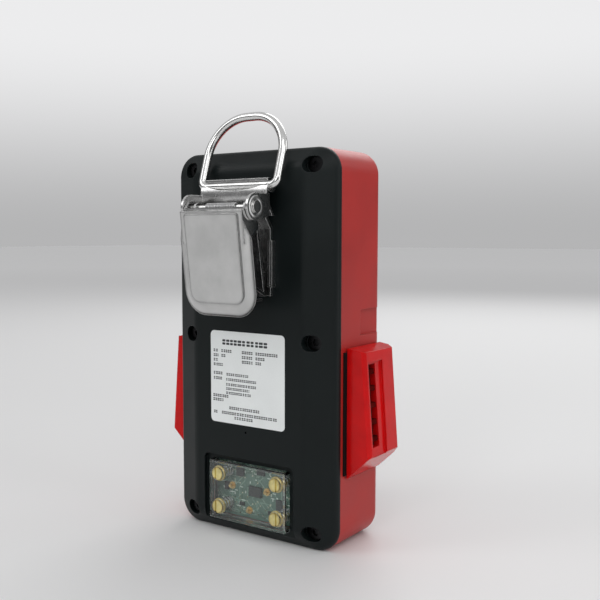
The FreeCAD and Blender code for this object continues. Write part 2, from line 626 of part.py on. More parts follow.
def main_board():
    """Main circuit board, cut out around the case's screw posts."""
    half = "size.main_board_half"
    depth = ("size.main_board_y - size.board_thick", "size.main_board_y")
    plate = box("main_board_plate", (f"-{half}", half), depth,
                ("size.main_board_low_z", "size.main_board_high_z"))
    cuts = [rod(f"main_board_notch_{number}", "size.post_radius + 4 * size.fit_gap", x, depth, z)
            for number, (x, z) in enumerate(SCREW_PLACES, start=1)]
    cuts += [rod(f"main_board_hole_{number}", "size.board_screw_radius + size.fit_gap", x, depth, z)
             for number, (x, z) in enumerate(board_post_places(), start=1)]
    return cut("main_board", plate, cuts)


def board_post_places():
    """Where the main board is screwed down."""
    return [(f"{side} * size.board_post_x", f"size.board_post_{level}_z")
            for side in (-1, 1) for level in ("low", "high")]


def board_screws():
    """Four screws that hold the main board."""
    sizes = ("size.board_screw_head", "size.board_screw_height", "size.board_screw_radius",
             "size.board_thick + size.board_screw_length - 1")
    return group("board_screws", [screw(f"board_screw_{number}", x, z, "size.main_board_y", sizes)
                                  for number, (x, z) in enumerate(board_post_places(), start=1)])


def main_board_parts():
    """Processor, memory, charger and other parts of the main board."""
    return chips("main_board_parts", "size.main_board_y", MAIN_PARTS)


def front_board():
    """Small board behind the display and the keys."""
    half = "size.front_board_half"
    return box("front_board", (f"-{half}", half),
               ("size.front_board_y - size.front_board_thick", "size.front_board_y"),
               ("size.front_board_low_z", "size.front_board_high_z"))


# ---------------------------------------------------------------- display, keys and sensors

def display_module():
    """Liquid crystal module between the front wall and its board."""
    half = "size.display_half + size.module_rim"
    return box("display_module", (f"-({half})", half),
               ("size.front_y + size.wall", "size.front_board_y - size.front_board_thick"),
               ("size.display_low_z - size.module_margin", "size.display_high_z + size.module_margin"))


def display_lens():
    """Clear window plate in its seat."""
    body = new_body("display_lens")
    half = "size.display_half + size.glass_rim - size.fit_gap"
    low = "size.display_low_z - size.glass_rim + size.fit_gap"
    high = "size.display_high_z + size.glass_rim - size.fit_gap"
    outline = draw_rounded(front_sketch(body, "size.front_y"), (f"-({half})", half), (low, high),
                           "size.glass_corner")
    extrude(body, "Pad", outline, "size.glass_thick", reverse=True)
    return body


def key(name, step):
    """Key cap with a flange behind the wall and a stem towards its switch."""
    x = f"{step} * size.key_x"
    wall_y = "size.front_y + size.wall"
    flange_y = (f"{wall_y} + size.clip_running_gap", f"{wall_y} + size.clip_running_gap + size.key_flange")
    cap = rod(name + "_cap", "size.key_radius", x,
              ("size.front_y - size.key_proud", flange_y[1]), "size.key_z")
    flange = rod(name + "_flange", "size.key_flange_radius", x, flange_y, "size.key_z")
    stem = rod(name + "_stem", "size.key_stem_radius", x,
               (flange_y[1], f"{flange_y[1]} + size.key_stem"), "size.key_z")
    return join(name, [cap, flange, stem])


def keypad():
    """Rubber mat between the keys and their switches."""
    half = "size.keypad_half"
    back = "size.front_board_y - size.front_board_thick - size.switch_thick"
    return box("keypad", (f"-{half}", half), (f"{back} - size.keypad_thick", back),
               ("size.keypad_low_z", "size.keypad_high_z"))


def key_switches():
    """Three dome switches on the front board."""
    back = "size.front_board_y - size.front_board_thick"
    depth = (f"{back} - size.switch_thick", back)
    return group("key_switches", [rod(f"key_switch_{step + 2}", "size.key_stem_radius",
                                      f"{step} * size.key_x", depth, "size.key_z") for step in (-1, 0, 1)])


def sensor(number, x, z):
    """Gas sensor can with a smaller cap against the gasket."""
    name = f"gas_sensor_{number}"
    back = "size.main_board_y - size.board_thick"
    front = "size.front_y + size.wall + size.filter_thick + size.gasket_thick"
    can = rod(name + "_can", "size.sensor_radius", x, (f"{front} + size.sensor_cap_height", back), z)
    cap = rod(name + "_cap", "size.sensor_cap_radius", x, (front, f"{front} + size.sensor_cap_height"), z)
    return join(name, [can, cap])


def sensor_gasket():
    """Rubber sheet that seals the four sensors to the front wall's filters."""
    front = "size.front_y + size.wall + size.filter_thick"
    back = f"{front} + size.gasket_thick"
    reach = "size.sensor_x + size.filter_radius + size.gasket_margin"
    plate = box("gasket_plate", (f"-({reach})", reach), (front, back),
                ("size.sensor_low_z - size.filter_radius - size.gasket_margin",
                 "size.sensor_high_z + size.filter_radius + size.gasket_margin"))
    holes = [rod(f"gasket_hole_{number}", "size.inlet_radius", x, (front, back), z)
             for number, (x, z) in enumerate(sensor_places(), start=1)]
    return cut("sensor_gasket", plate, holes)


def sensor_filters():
    """Four thin membrane discs over the inlets."""
    depth = ("size.front_y + size.wall", "size.front_y + size.wall + size.filter_thick")
    return group("sensor_filters", [rod(f"sensor_filter_{number}", "size.filter_radius", x, depth, z)
                                    for number, (x, z) in enumerate(sensor_places(), start=1)])


def sensor_grille():
    """Front plate with a set of slots over each sensor."""
    body = new_body("sensor_grille")
    half = "size.grille_half - size.fit_gap"
    outline = draw_rounded(front_sketch(body, "size.front_y"), (f"-({half})", half),
                           ("size.grille_low_z + size.fit_gap", "size.grille_high_z - size.fit_gap"),
                           "size.grille_corner - size.fit_gap")
    extrude(body, "Pad", outline, "size.grille_thick", reverse=True)
    slots = []
    for number, (x, z) in enumerate(sensor_places(), start=1):
        for step in (-2, -1, 0, 1, 2):
            middle = f"{z} + {step} * size.grille_pitch"
            reach = f"(size.grille_slot_reach - {abs(step)} * size.grille_slot / 2)"
            slots.append(box(f"grille_slot_{number}_{step + 3}", (f"{x} - {reach}", f"{x} + {reach}"),
                             ("size.front_y - 1", "size.front_y + size.grille_thick + 1"),
                             (f"{middle} - size.grille_slot / 2", f"{middle} + size.grille_slot / 2")))
    body.Label = "sensor_grille_plate"
    return cut("sensor_grille_slotted", body, slots)


def buzzer():
    """Sounder behind its port holes."""
    front = "size.front_y + size.wall"
    return rod("buzzer", "size.buzzer_radius", "size.buzzer_x", (front, f"{front} + size.buzzer_height"),
               "size.buzzer_z")


def vibration_motor():
    """Coin vibration motor on the front face of the main board."""
    back = "size.main_board_y - size.board_thick"
    return rod("vibration_motor", "size.motor_radius", "size.motor_x", (f"{back} - size.motor_height", back),
               "size.buzzer_z + 1")


# ---------------------------------------------------------------- battery

def inner_frame():
    """Moulded tray that carries the battery between the front board and the main board."""
    half = "size.battery_half + size.tray_gap"
    low = "size.battery_low_z - size.tray_gap"
    high = "size.battery_high_z + size.tray_gap"
    back = "size.main_board_y - size.board_thick"
    outer = box("tray_outer", (f"-({half} + size.tray_wall)", f"{half} + size.tray_wall"),
                ("size.front_board_y", back), (f"{low} - size.tray_wall", f"{high} + size.tray_wall"))
    inner = box("tray_inner", (f"-({half})", half), ("size.front_board_y + size.tray_wall", f"{back} + 1"),
                (low, high))
    return cut("inner_frame", outer, [inner])


def battery_pack():
    """Lithium pack."""
    half = "size.battery_half"
    return box("battery_pack", (f"-{half}", half),
               ("size.front_board_y + size.tray_wall", "size.battery_back_y"),
               ("size.battery_low_z", "size.battery_high_z"))


def battery_foam():
    """Foam between the pack and the main board."""
    half = "size.battery_half"
    return box("battery_foam", (f"-{half}", half),
               ("size.battery_back_y", "size.main_board_y - size.board_thick"),
               ("size.battery_low_z", "size.battery_high_z"))


# ---------------------------------------------------------------- alarm lenses

def lens_x(side, expression):
    """An X expression on one side of the case."""
    return f"{side} * ({expression})"


def alarm_lens(name, side):
    """Lens that stands off the case's side, with a pocket, a slot and a hollow plug for the lamps."""
    root = "size.case_width / 2 + size.lens_seal_thick"
    body = new_body(f"{name}_body")
    corners = [(lens_x(side, root), "size.lens_root_high_z"),
               (lens_x(side, "size.lens_tip_high_x"), "size.lens_tip_high_z"),
               (lens_x(side, "size.lens_tip_low_x"), "size.lens_tip_low_z"),
               (lens_x(side, root), "size.lens_root_low_z")]
    outline = draw_outline(front_sketch(body, "size.lens_back_y"), corners)
    extrude(body, "Pad", outline, "size.lens_back_y - size.lens_front_y")
    outer = value("size.lens_tip_high_x") - 0.5

    def outer_edge_at(y):
        at_y = lies_at_y(y)
        return lambda edge: at_y(edge) and edge.BoundBox.ZLength > 20 and abs(edge.CenterOfMass.x) > outer
    soften(body, "Chamfer", "size.lens_bevel", outer_edge_at(value("size.lens_back_y")))
    soften(body, "Chamfer", "size.lens_front_bevel", outer_edge_at(value("size.lens_front_y")))
    plug_x = side_pair(side, f"{root} - size.plug_reach", root)
    plug = box(name + "_plug", plug_x,
               ("size.plug_front_y + size.fit_gap", "size.plug_back_y - size.fit_gap"),
               ("size.plug_low_z + size.fit_gap", "size.plug_high_z - size.fit_gap"))
    plug_end = f"{root} - size.plug_reach"
    well_x = side_pair(side, plug_end, f"{plug_end} + size.light_well_depth")
    well = box(name + "_well", well_x,
               ("size.plug_front_y + size.light_well_inset", "size.plug_back_y - size.light_well_inset"),
               ("size.plug_low_z + size.light_well_inset", "size.plug_high_z - size.light_well_inset"))
    pocket = lens_cut(name + "_pocket", side, "size.lens_pocket_depth",
                      ("size.lens_pocket_front_y", "size.lens_pocket_back_y"),
                      ("size.lens_pocket_low_z", "size.lens_pocket_high_z"))
    slot = lens_cut(name + "_slot", side, "size.lens_slot_depth",
                    ("size.lens_slot_front_y", "size.lens_pocket_back_y"),
                    ("size.lens_slot_low_z", "size.lens_slot_high_z"))
    return cut(name, join(name + "_solid", [body, plug]), [well, pocket, slot])


def lens_face_x(z):
    """The X of the lens's leaning outer face at a height."""
    slope = "(size.lens_tip_low_x - size.lens_tip_high_x) / (size.lens_tip_high_z - size.lens_tip_low_z)"
    return f"(size.lens_tip_high_x + (size.lens_tip_high_z - ({z})) * {slope})"


def lens_cut(name, side, depth, y, z):
    """A pocket of even depth below the lens's leaning outer face."""
    body = new_body(name)
    low_x, high_x = (lens_face_x(level) for level in z)
    corners = [(lens_x(side, f"{low_x} - {depth}"), z[0]), (lens_x(side, f"{low_x} + 1"), z[0]),
               (lens_x(side, f"{high_x} + 1"), z[1]), (lens_x(side, f"{high_x} - {depth}"), z[1])]
    extrude(body, "Pad", draw_outline(front_sketch(body, y[1]), corners), f"{y[1]} - ({y[0]})")
    return body


def alarm_grille(name, side):
    """Insert of cross ribs at the bottom of the lens's slot."""
    gap = "size.fit_gap"
    y = (f"size.lens_slot_front_y + {gap}", f"size.lens_pocket_back_y - {gap}")
    low = f"(size.lens_slot_low_z + {gap})"
    high = f"(size.lens_slot_high_z - {gap})"
    floor = "size.lens_slot_depth"
    body = new_body(name)
    base = [(lens_x(side, f"{lens_face_x(z)} - {floor} + {rise}"), z)
            for z, rise in ((low, 0), (low, "size.lens_rib_base"), (high, "size.lens_rib_base"), (high, 0))]
    extrude(body, "Pad", draw_outline(front_sketch(body, y[1]), base), f"{y[1]} - ({y[0]})")
    for step in (-2, -1, 0, 1, 2):
        middle = f"((size.lens_slot_low_z + size.lens_slot_high_z) / 2 + {step} * size.lens_rib_pitch)"
        z = (f"({middle} - size.lens_rib / 2)", f"({middle} + size.lens_rib / 2)")
        tip = "size.lens_bevel"
        rib = [(lens_x(side, f"{lens_face_x(level)} - {reach}"), level)
               for level, reach in ((z[0], floor), (z[0], tip), (z[1], tip), (z[1], floor))]
        extrude(body, "Pad", draw_outline(front_sketch(body, y[1]), rib), f"{y[1]} - ({y[0]})")
    return body


def lens_seal(name, side):
    """Rubber gasket between the lens and the case's side."""
    x = side_pair(side, "size.case_width / 2", "size.case_width / 2 + size.lens_seal_thick")
    margin = "size.lens_seal_margin"
    sheet_box = box(name + "_sheet", x, (f"size.lens_front_y + {margin}", "size.lens_seal_back_y"),
                    (f"size.lens_root_low_z + {margin}", f"size.lens_root_high_z - {margin}"))
    opening = box(name + "_opening", x, ("size.plug_front_y", "size.plug_back_y"),
                  ("size.plug_low_z", "size.plug_high_z"))
    return cut(name, sheet_box, [opening])


def led_boards():
    """Two narrow boards that stand on the main board beside the lenses."""
    items = []
    for name, side in (("left", -1), ("right", 1)):
        outer = "size.case_width / 2 - size.wall - size.led_board_gap"
        x = side_pair(side, f"{outer} - size.led_board_thick", outer)
        items.append(box(f"led_board_{name}", x,
                         ("size.led_board_front_y", "size.main_board_y - size.board_thick"),
                         ("size.led_mid_z - size.led_board_half", "size.led_mid_z + size.led_board_half")))
    return group("led_boards", items)


def alarm_leds():
    """Three lamps behind each lens."""
    items = []
    start = "size.case_width / 2 - size.wall - size.led_board_gap"
    for name, side in (("left", -1), ("right", 1)):
        x = side_pair(side, start, f"{start} + size.led_length")
        for step in (-1, 0, 1):
            items.append(side_rod(f"alarm_led_{name}_{step + 2}", "size.led_radius", x, "size.led_y",
                                  f"size.led_mid_z + {step} * size.led_pitch"))
    return group("alarm_leds", items)


# ---------------------------------------------------------------- belt clip

def side_plate(label, corners, half, thick=None):
    """A plate drawn in Y and Z: across the middle, or a pair of side plates of a thickness."""
    body = new_body(label)
    profile = draw_outline(new_sketch(body, "YZ_Plane", 0), corners)
    extrude(body, "Pad", profile, f"2 * {half}", midplane=True)
    if thick:
        inner = draw_outline(new_sketch(body, "YZ_Plane", 0), corners)
        extrude(body, "Pocket", inner, f"2 * ({half} - {thick})", midplane=True)
    return body


def clip_base():
    """Folded base: plate, side rails, riser, two ears for the pin and the hook that holds the D-ring."""
    back = "size.plateau_y"
    half = "size.base_half"
    plate = box("clip_plate", (f"-{half}", half), (back, f"{back} + size.base_thick"),
                ("size.base_low_z", "size.base_high_z"))
    pieces = [plate]
    slots = []
    for name, side in (("left", -1), ("right", 1)):
        rail_y = (back, f"{back} + size.rail_height")
        rail_z = ("size.rail_low_z", "size.rail_high_z")
        rail_x = side_pair(side, f"{half} - size.rail_slot", "size.rail_half")
        pieces.append(box(f"clip_rail_{name}", rail_x, rail_y, rail_z))
        slot_x = side_pair(side, f"{half} + size.rail_slot / 2", f"size.rail_half - size.rail_slot")
        slots.append(box(f"clip_rail_slot_{name}", slot_x,
                         (f"{back} + size.rail_slot", f"{back} + size.rail_height + 1"),
                         ("size.rail_low_z + size.rail_slot", "size.rail_high_z - size.rail_slot")))
    bow_low_y = "(size.bow_y + (size.bow_radius ^ 2 - (size.bow_z - size.bow_low_z) ^ 2) ^ 0.5)"
    riser = [(back, "size.base_high_z - 1"), (f"{back} + size.base_thick", "size.base_high_z - 1"),
             (f"{back} + size.base_thick", "size.base_high_z"), (bow_low_y, "size.bow_low_z"),
             (f"{bow_low_y} - size.sheet", "size.bow_low_z + size.sheet"),
             (back, "size.base_high_z + size.sheet")]
    pieces.append(side_plate("clip_riser", riser, half))
    rise = "(size.ear_low_z - size.base_high_z) / (size.bow_low_z - size.base_high_z)"
    lean = f"({bow_low_y} - {back} - size.base_thick) * {rise}"
    wide = [(f"{back} + size.base_thick + {lean}", "size.ear_low_z"), (bow_low_y, "size.bow_low_z"),
            (f"{bow_low_y} - size.sheet", "size.bow_low_z + size.sheet"),
            (f"{back} + {lean}", "size.ear_low_z")]
    pieces.append(side_plate("clip_shoulder", wide, "(size.ear_inner + size.sheet)"))
    pieces.append(clip_bow())
    pieces += clip_ears()
    pieces.append(ring_hook())
    bore = side_rod("clip_base_bore", "size.clip_pin_radius", ("-size.case_width", "size.case_width"),
                    "size.clip_y", "size.clip_z")
    screws = [rod(f"clip_base_thread_{side + 2}", "size.clip_screw_radius", f"{side} * size.clip_screw_x",
                  (back, f"{back} + size.base_thick"), "size.clip_screw_z") for side in (-1, 1)]
    return cut("clip_base", join("clip_base_folded", pieces), slots + screws + [bore] + hook_cuts())


def clip_bow():
    """Outward-bowed sheet between the ears, up to the hook."""
    outer = "(size.ear_inner + size.sheet)"
    across = (f"-{outer}", outer)
    shell = cut("bow_shell", side_rod("bow_outer", "size.bow_radius", across, "size.bow_y", "size.bow_z"),
                [side_rod("bow_inner", "size.bow_radius - size.sheet", across, "size.bow_y", "size.bow_z")])
    band = box("bow_band", across, ("size.bow_y", "size.bow_y + size.bow_radius + 1"),
               ("size.bow_low_z", "size.bow_high_z"))
    sheet = doc.addObject("Part::MultiCommon", "clip_bow")
    sheet.Shapes = [shell, band]
    return sheet


def clip_ears():
    """Two ears folded forward from the bow's edges: a disc round the pin and a plate behind it."""
    outer = "(size.ear_inner + size.sheet)"
    items = []
    for name, side in (("left", -1), ("right", 1)):
        across = side_pair(side, "size.ear_inner", outer)
        items.append(side_rod(f"ear_disc_{name}", "size.ear_radius", across, "size.clip_y", "size.clip_z"))
    back = "(size.bow_y + size.bow_radius - 2 * size.sheet)"
    plate = [(back, "size.ear_low_z"), (back, "size.clip_z + size.ear_radius"),
             ("size.clip_y", "size.clip_z + size.ear_radius"),
             ("size.clip_y", "size.clip_z - size.ear_radius")]
    items.append(side_plate("ear_plates", plate, outer, "size.sheet"))
    return items


def ring_hook():
    """Curl that holds the D-ring's bar, its upper edge shorter than its lower lip."""
    curl = side_rod("hook_outer", "size.saddle_bore + size.sheet", ("-size.saddle_half", "size.saddle_half"),
                    "size.ring_y", "size.ring_z")
    corners = [box(f"hook_corner_{name}", side_pair(side, "size.curl_half", "size.saddle_half + 1"),
                   ("size.ring_y - 4", "size.ring_y + 4"), ("size.curl_low_z", "size.ring_z + 4"))
               for name, side in (("left", -1), ("right", 1))]
    return cut("ring_hook", curl, corners)


def hook_cuts():
    """The bar's bore and the dip that opens the hook in front."""
    long = ("-size.case_width", "size.case_width")
    bore = side_rod("hook_bore", "size.saddle_bore", long, "size.ring_y", "size.ring_z")
    dip = rod("hook_dip", "size.saddle_dip_radius", 0, ("size.ring_y + 1", "size.ring_y + 10"),
              "size.saddle_dip_z + size.saddle_dip_radius")
    return [bore, dip]


def lever_frame(body):
    """Stand a body on the clip's pin: its Y runs down the lever and its Z points away from the case."""
    body.Placement.Rotation = FreeCAD.Rotation(FreeCAD.Vector(1, 0, 0), -90 - value("size.clip_tilt"))
    place(body, 0, "size.clip_y", "size.clip_z", body.Placement.Rotation)


def lever_outline(body, level, half, top, bottom, corners):
    """A rounded outline in the lever's own plane."""
    sketch = new_sketch(body, "XY_Plane", level)
    return draw_rounded(sketch, (f"-({half})", half), (top, bottom), *corners)


def clip_lever():
    """Sprung cover: a tray with sloping sides, a raised panel and cheeks that turn on the pin."""
    body = new_body("clip_lever")
    lever_frame(body)
    loft(body, "AdditiveLoft",
         lever_outline(body, "size.rim_level", "size.rim_half", "size.rim_top", "size.rim_bottom",
                       ("size.rim_top_corner", "size.rim_corner")),
         lever_outline(body, "size.panel_level", "size.panel_half", "size.panel_top", "size.panel_bottom",
                       ("size.tight_corner", "size.panel_corner")))
    head = [("size.panel_top", "size.panel_level")] + LEVER_CHEEK
    head.append(("size.rim_top + 3", "size.panel_level"))
    cheeks = draw_outline(new_sketch(body, "YZ_Plane", 0), head)
    extrude(body, "Pad", cheeks, "2 * size.cheek_half", midplane=True)
    inset = "size.emboss_inset"
    raised = lever_outline(body, "size.panel_level", f"size.panel_half - {inset}",
                           f"size.panel_top + {inset}", f"size.panel_bottom - {inset}",
                           ("size.tight_corner", "size.emboss_corner"))
    extrude(body, "Pad", raised, "size.emboss")
    loft(body, "SubtractiveLoft",
         lever_outline(body, "size.rim_level", "size.rim_half - size.sheet", "size.rim_top + size.sheet",
                       "size.rim_bottom - size.sheet",
                       ("size.rim_top_corner - size.sheet", "size.rim_corner - size.sheet")),
         lever_outline(body, "size.panel_level - size.sheet", "size.panel_half - size.sheet",
                       "size.panel_top + 2 * size.sheet", "size.panel_bottom - size.sheet",
                       ("size.tight_corner", "size.panel_corner - size.sheet")))
    inside_level = "size.panel_level - size.sheet"
    hollow = [("size.panel_top + size.sheet", inside_level)] + LEVER_INSIDE
    hollow.append((LEVER_INSIDE[-1][0], inside_level))
    extrude(body, "Pocket", draw_outline(new_sketch(body, "YZ_Plane", 0), hollow),
            "2 * (size.cheek_half - size.sheet)", midplane=True)
    bore = draw_circles(new_sketch(body, "YZ_Plane", 0), [(0, 0)],
                        "size.clip_pin_radius + size.clip_running_gap")
    extrude(body, "Pocket", bore, "4 * size.cheek_half", midplane=True)
    return body


def clip_jaw():
    """Inner leaf on the pin: arms, a bowed web and a toothed foot that bites towards the base."""
    back = "size.plateau_y"
    web, arms, foot = ([(f"{back} + {y}", z) for y, z in outline]
                       for outline in (JAW_WEB, JAW_ARMS, JAW_FOOT))
    pieces = [side_plate("jaw_web", web, "size.jaw_half"),
              side_plate("jaw_arms", arms, "size.jaw_half", "size.sheet"),
              side_plate("jaw_foot", foot, "size.jaw_foot_half")]
    cuts = [side_rod("jaw_bore", "size.clip_pin_radius + size.clip_running_gap",
                     ("-size.case_width", "size.case_width"), "size.clip_y", "size.clip_z")]
    for step in range(-4, 5):
        middle = f"{step} * size.tooth_pitch"
        cuts.append(box(f"jaw_gap_{step + 5}",
                        (f"{middle} - size.tooth_pitch / 4", f"{middle} + size.tooth_pitch / 4"),
                        (back, f"{back} + {JAW_FOOT[2][0]} + size.tooth_depth"),
                        ("size.base_low_z - 3", "size.base_low_z")))
    return cut("clip_jaw", join("clip_jaw_leaf", pieces), cuts)


def clip_pin():
    """Pivot pin, riveted over both ears."""
    outer = "(size.ear_inner + size.sheet)"
    shaft = side_rod("clip_pin_shaft", "size.clip_pin_radius", (f"-{outer}", outer),
                     "size.clip_y", "size.clip_z")
    heads = [side_rod(f"clip_rivet_{name}", "size.rivet_radius",
                      side_pair(side, outer, f"{outer} + size.rivet_height"),
                      "size.clip_y", "size.clip_z") for name, side in (("left", -1), ("right", 1))]
    return join("clip_pin", [shaft] + heads)


def clip_spring():
    """Torsion spring coiled round the pin between the jaw's arms."""
    spring = coil("clip_spring", "size.torsion_radius", "size.torsion_wire", "size.torsion_pitch",
                  "size.torsion_length")
    return place(spring, "-size.torsion_length / 2", "size.clip_y", "size.clip_z", ALONG_X)


def clip_screws():
    """Two screws from inside the cover into the clip's base."""
    sizes = ("size.clip_screw_head", "size.clip_screw_height", "size.clip_screw_radius",
             "size.wall + size.base_thick - size.fit_gap")
    seat = "size.plateau_y - size.wall + size.fit_gap"
    return group("clip_screws", [screw(f"clip_screw_{side + 2}", f"{side} * size.clip_screw_x",
                                       "size.clip_screw_z", seat, sizes, sense=-1) for side in (-1, 1)])


def d_ring():
    """Wire ring: a straight bar, two tight bends, straight legs and a wide arch with a short flat top."""
    half = value("size.ring_half")
    bend = value("size.ring_bend")
    arch = value("size.ring_top_radius")
    height = value("size.ring_height")

    def flat(x, z):
        return FreeCAD.Vector(x, 0, z)

    def corner(side, radius, x, z, up):
        """Quarter arc round x, z between its outermost point and its highest or lowest point."""
        slant = radius * math.sin(math.pi / 4)
        return Part.Arc(flat(side * (x + radius), z), flat(side * (x + slant), z + up * slant),
                        flat(side * x, z + up * radius))

    edges = [Part.LineSegment(flat(bend - half, 0), flat(half - bend, 0)),
             Part.LineSegment(flat(arch - half, height), flat(half - arch, height))]
    for side in (-1, 1):
        edges += [corner(side, bend, half - bend, bend, -1),
                  corner(side, arch, half - arch, height - arch, 1),
                  Part.LineSegment(flat(side * half, bend), flat(side * half, height - arch))]
    path = Part.Wire(Part.__sortEdges__([edge.toShape() for edge in edges]))
    section = Part.Wire(Part.makeCircle(value("size.ring_wire"), flat(0, 0), FreeCAD.Vector(1, 0, 0)))
    ring = doc.addObject("Part::Feature", "d_ring")
    ring.Shape = path.makePipeShell([section], True, True)
    lean = FreeCAD.Rotation(FreeCAD.Vector(1, 0, 0), value("size.ring_lean"))
    ring.Placement = FreeCAD.Placement(FreeCAD.Vector(0, value("size.ring_y"), value("size.ring_z")), lean)
    return ring


# ---------------------------------------------------------------- build, check, write

def build_all():
    """Every sub-part under its node's name."""
    nodes = {"rear_cover": rear_cover(), "front_shell": front_shell(), "case_seal": case_seal(),
             "case_screws": case_screws(), "rear_label": rear_label(), "contact_window": contact_window()}
    for number, (x, z) in enumerate(contact_places(), start=1):
        side = -1 if number % 2 else 1
        nodes[f"charge_contact_{number}"] = charge_contact(number, x, z, side)
    for number, spring in enumerate(contact_springs(), start=1):
        nodes[f"contact_spring_{number}"] = spring
    for make in (charge_board, charge_board_parts, board_pins, board_spacers, main_board, board_screws,
                 main_board_parts, front_board, display_module, display_lens, keypad, key_switches):
        nodes[make.__name__] = make()
    for name, step in (("key_left", -1), ("key_power", 0), ("key_right", 1)):
        nodes[name] = key(name, step)
    for number, (x, z) in enumerate(sensor_places(), start=1):
        nodes[f"gas_sensor_{number}"] = sensor(number, x, z)
    for make in (sensor_gasket, sensor_filters, sensor_grille, buzzer, vibration_motor, inner_frame,
                 battery_pack, battery_foam, led_boards, alarm_leds):
        nodes[make.__name__] = make()
    for name, side in (("left", -1), ("right", 1)):
        nodes[f"alarm_lens_{name}"] = alarm_lens(f"alarm_lens_{name}", side)
        nodes[f"alarm_grille_{name}"] = alarm_grille(f"alarm_grille_{name}", side)
        nodes[f"lens_seal_{name}"] = lens_seal(f"lens_seal_{name}", side)
    for make in (clip_base, clip_lever, clip_jaw, clip_pin, clip_spring, clip_screws, d_ring):
        nodes[make.__name__] = make()
    return nodes


def write_all(nodes):
    """Stop on any failed object, then write one file per node."""
    doc.recompute()
    failed = [item.Name for item in doc.Objects if {"Invalid", "Error"} & set(item.State)]
    for name, item in nodes.items():
        item.Label = name
        if item.Shape.isNull() or not item.Shape.isValid():
            failed.append(name)
    if failed:
        raise RuntimeError("failed: " + ", ".join(failed))
    os.makedirs("parts", exist_ok=True)
    for name, item in nodes.items():
        item.Shape.exportStep(f"parts/{name}.step")
        print(f"{name}: {len(item.Shape.Solids)} solid, {item.Shape.Volume:.1f} mm3")


write_all(build_all())
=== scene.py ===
"""Looks of a portable gas detector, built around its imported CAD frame."""
import math
import random

import bmesh
import bpy
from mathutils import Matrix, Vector
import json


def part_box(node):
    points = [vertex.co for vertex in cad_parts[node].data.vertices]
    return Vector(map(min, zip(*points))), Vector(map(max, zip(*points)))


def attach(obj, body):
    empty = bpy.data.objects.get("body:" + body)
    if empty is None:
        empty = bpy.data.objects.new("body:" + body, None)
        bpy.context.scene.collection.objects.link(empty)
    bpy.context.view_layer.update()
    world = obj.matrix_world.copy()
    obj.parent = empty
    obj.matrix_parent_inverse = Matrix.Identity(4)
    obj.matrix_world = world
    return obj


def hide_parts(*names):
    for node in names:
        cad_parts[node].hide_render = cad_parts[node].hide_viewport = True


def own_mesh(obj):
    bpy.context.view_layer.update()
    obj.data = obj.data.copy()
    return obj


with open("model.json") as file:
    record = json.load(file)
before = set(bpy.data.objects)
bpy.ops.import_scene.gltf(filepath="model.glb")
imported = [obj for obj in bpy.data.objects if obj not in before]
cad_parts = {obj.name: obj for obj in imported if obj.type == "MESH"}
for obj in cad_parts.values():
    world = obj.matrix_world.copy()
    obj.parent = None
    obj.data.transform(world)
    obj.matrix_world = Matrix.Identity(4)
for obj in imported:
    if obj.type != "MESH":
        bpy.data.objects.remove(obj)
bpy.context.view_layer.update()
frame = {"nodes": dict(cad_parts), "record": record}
MM = 0.001

# ---------------------------------------------------------------- node helpers


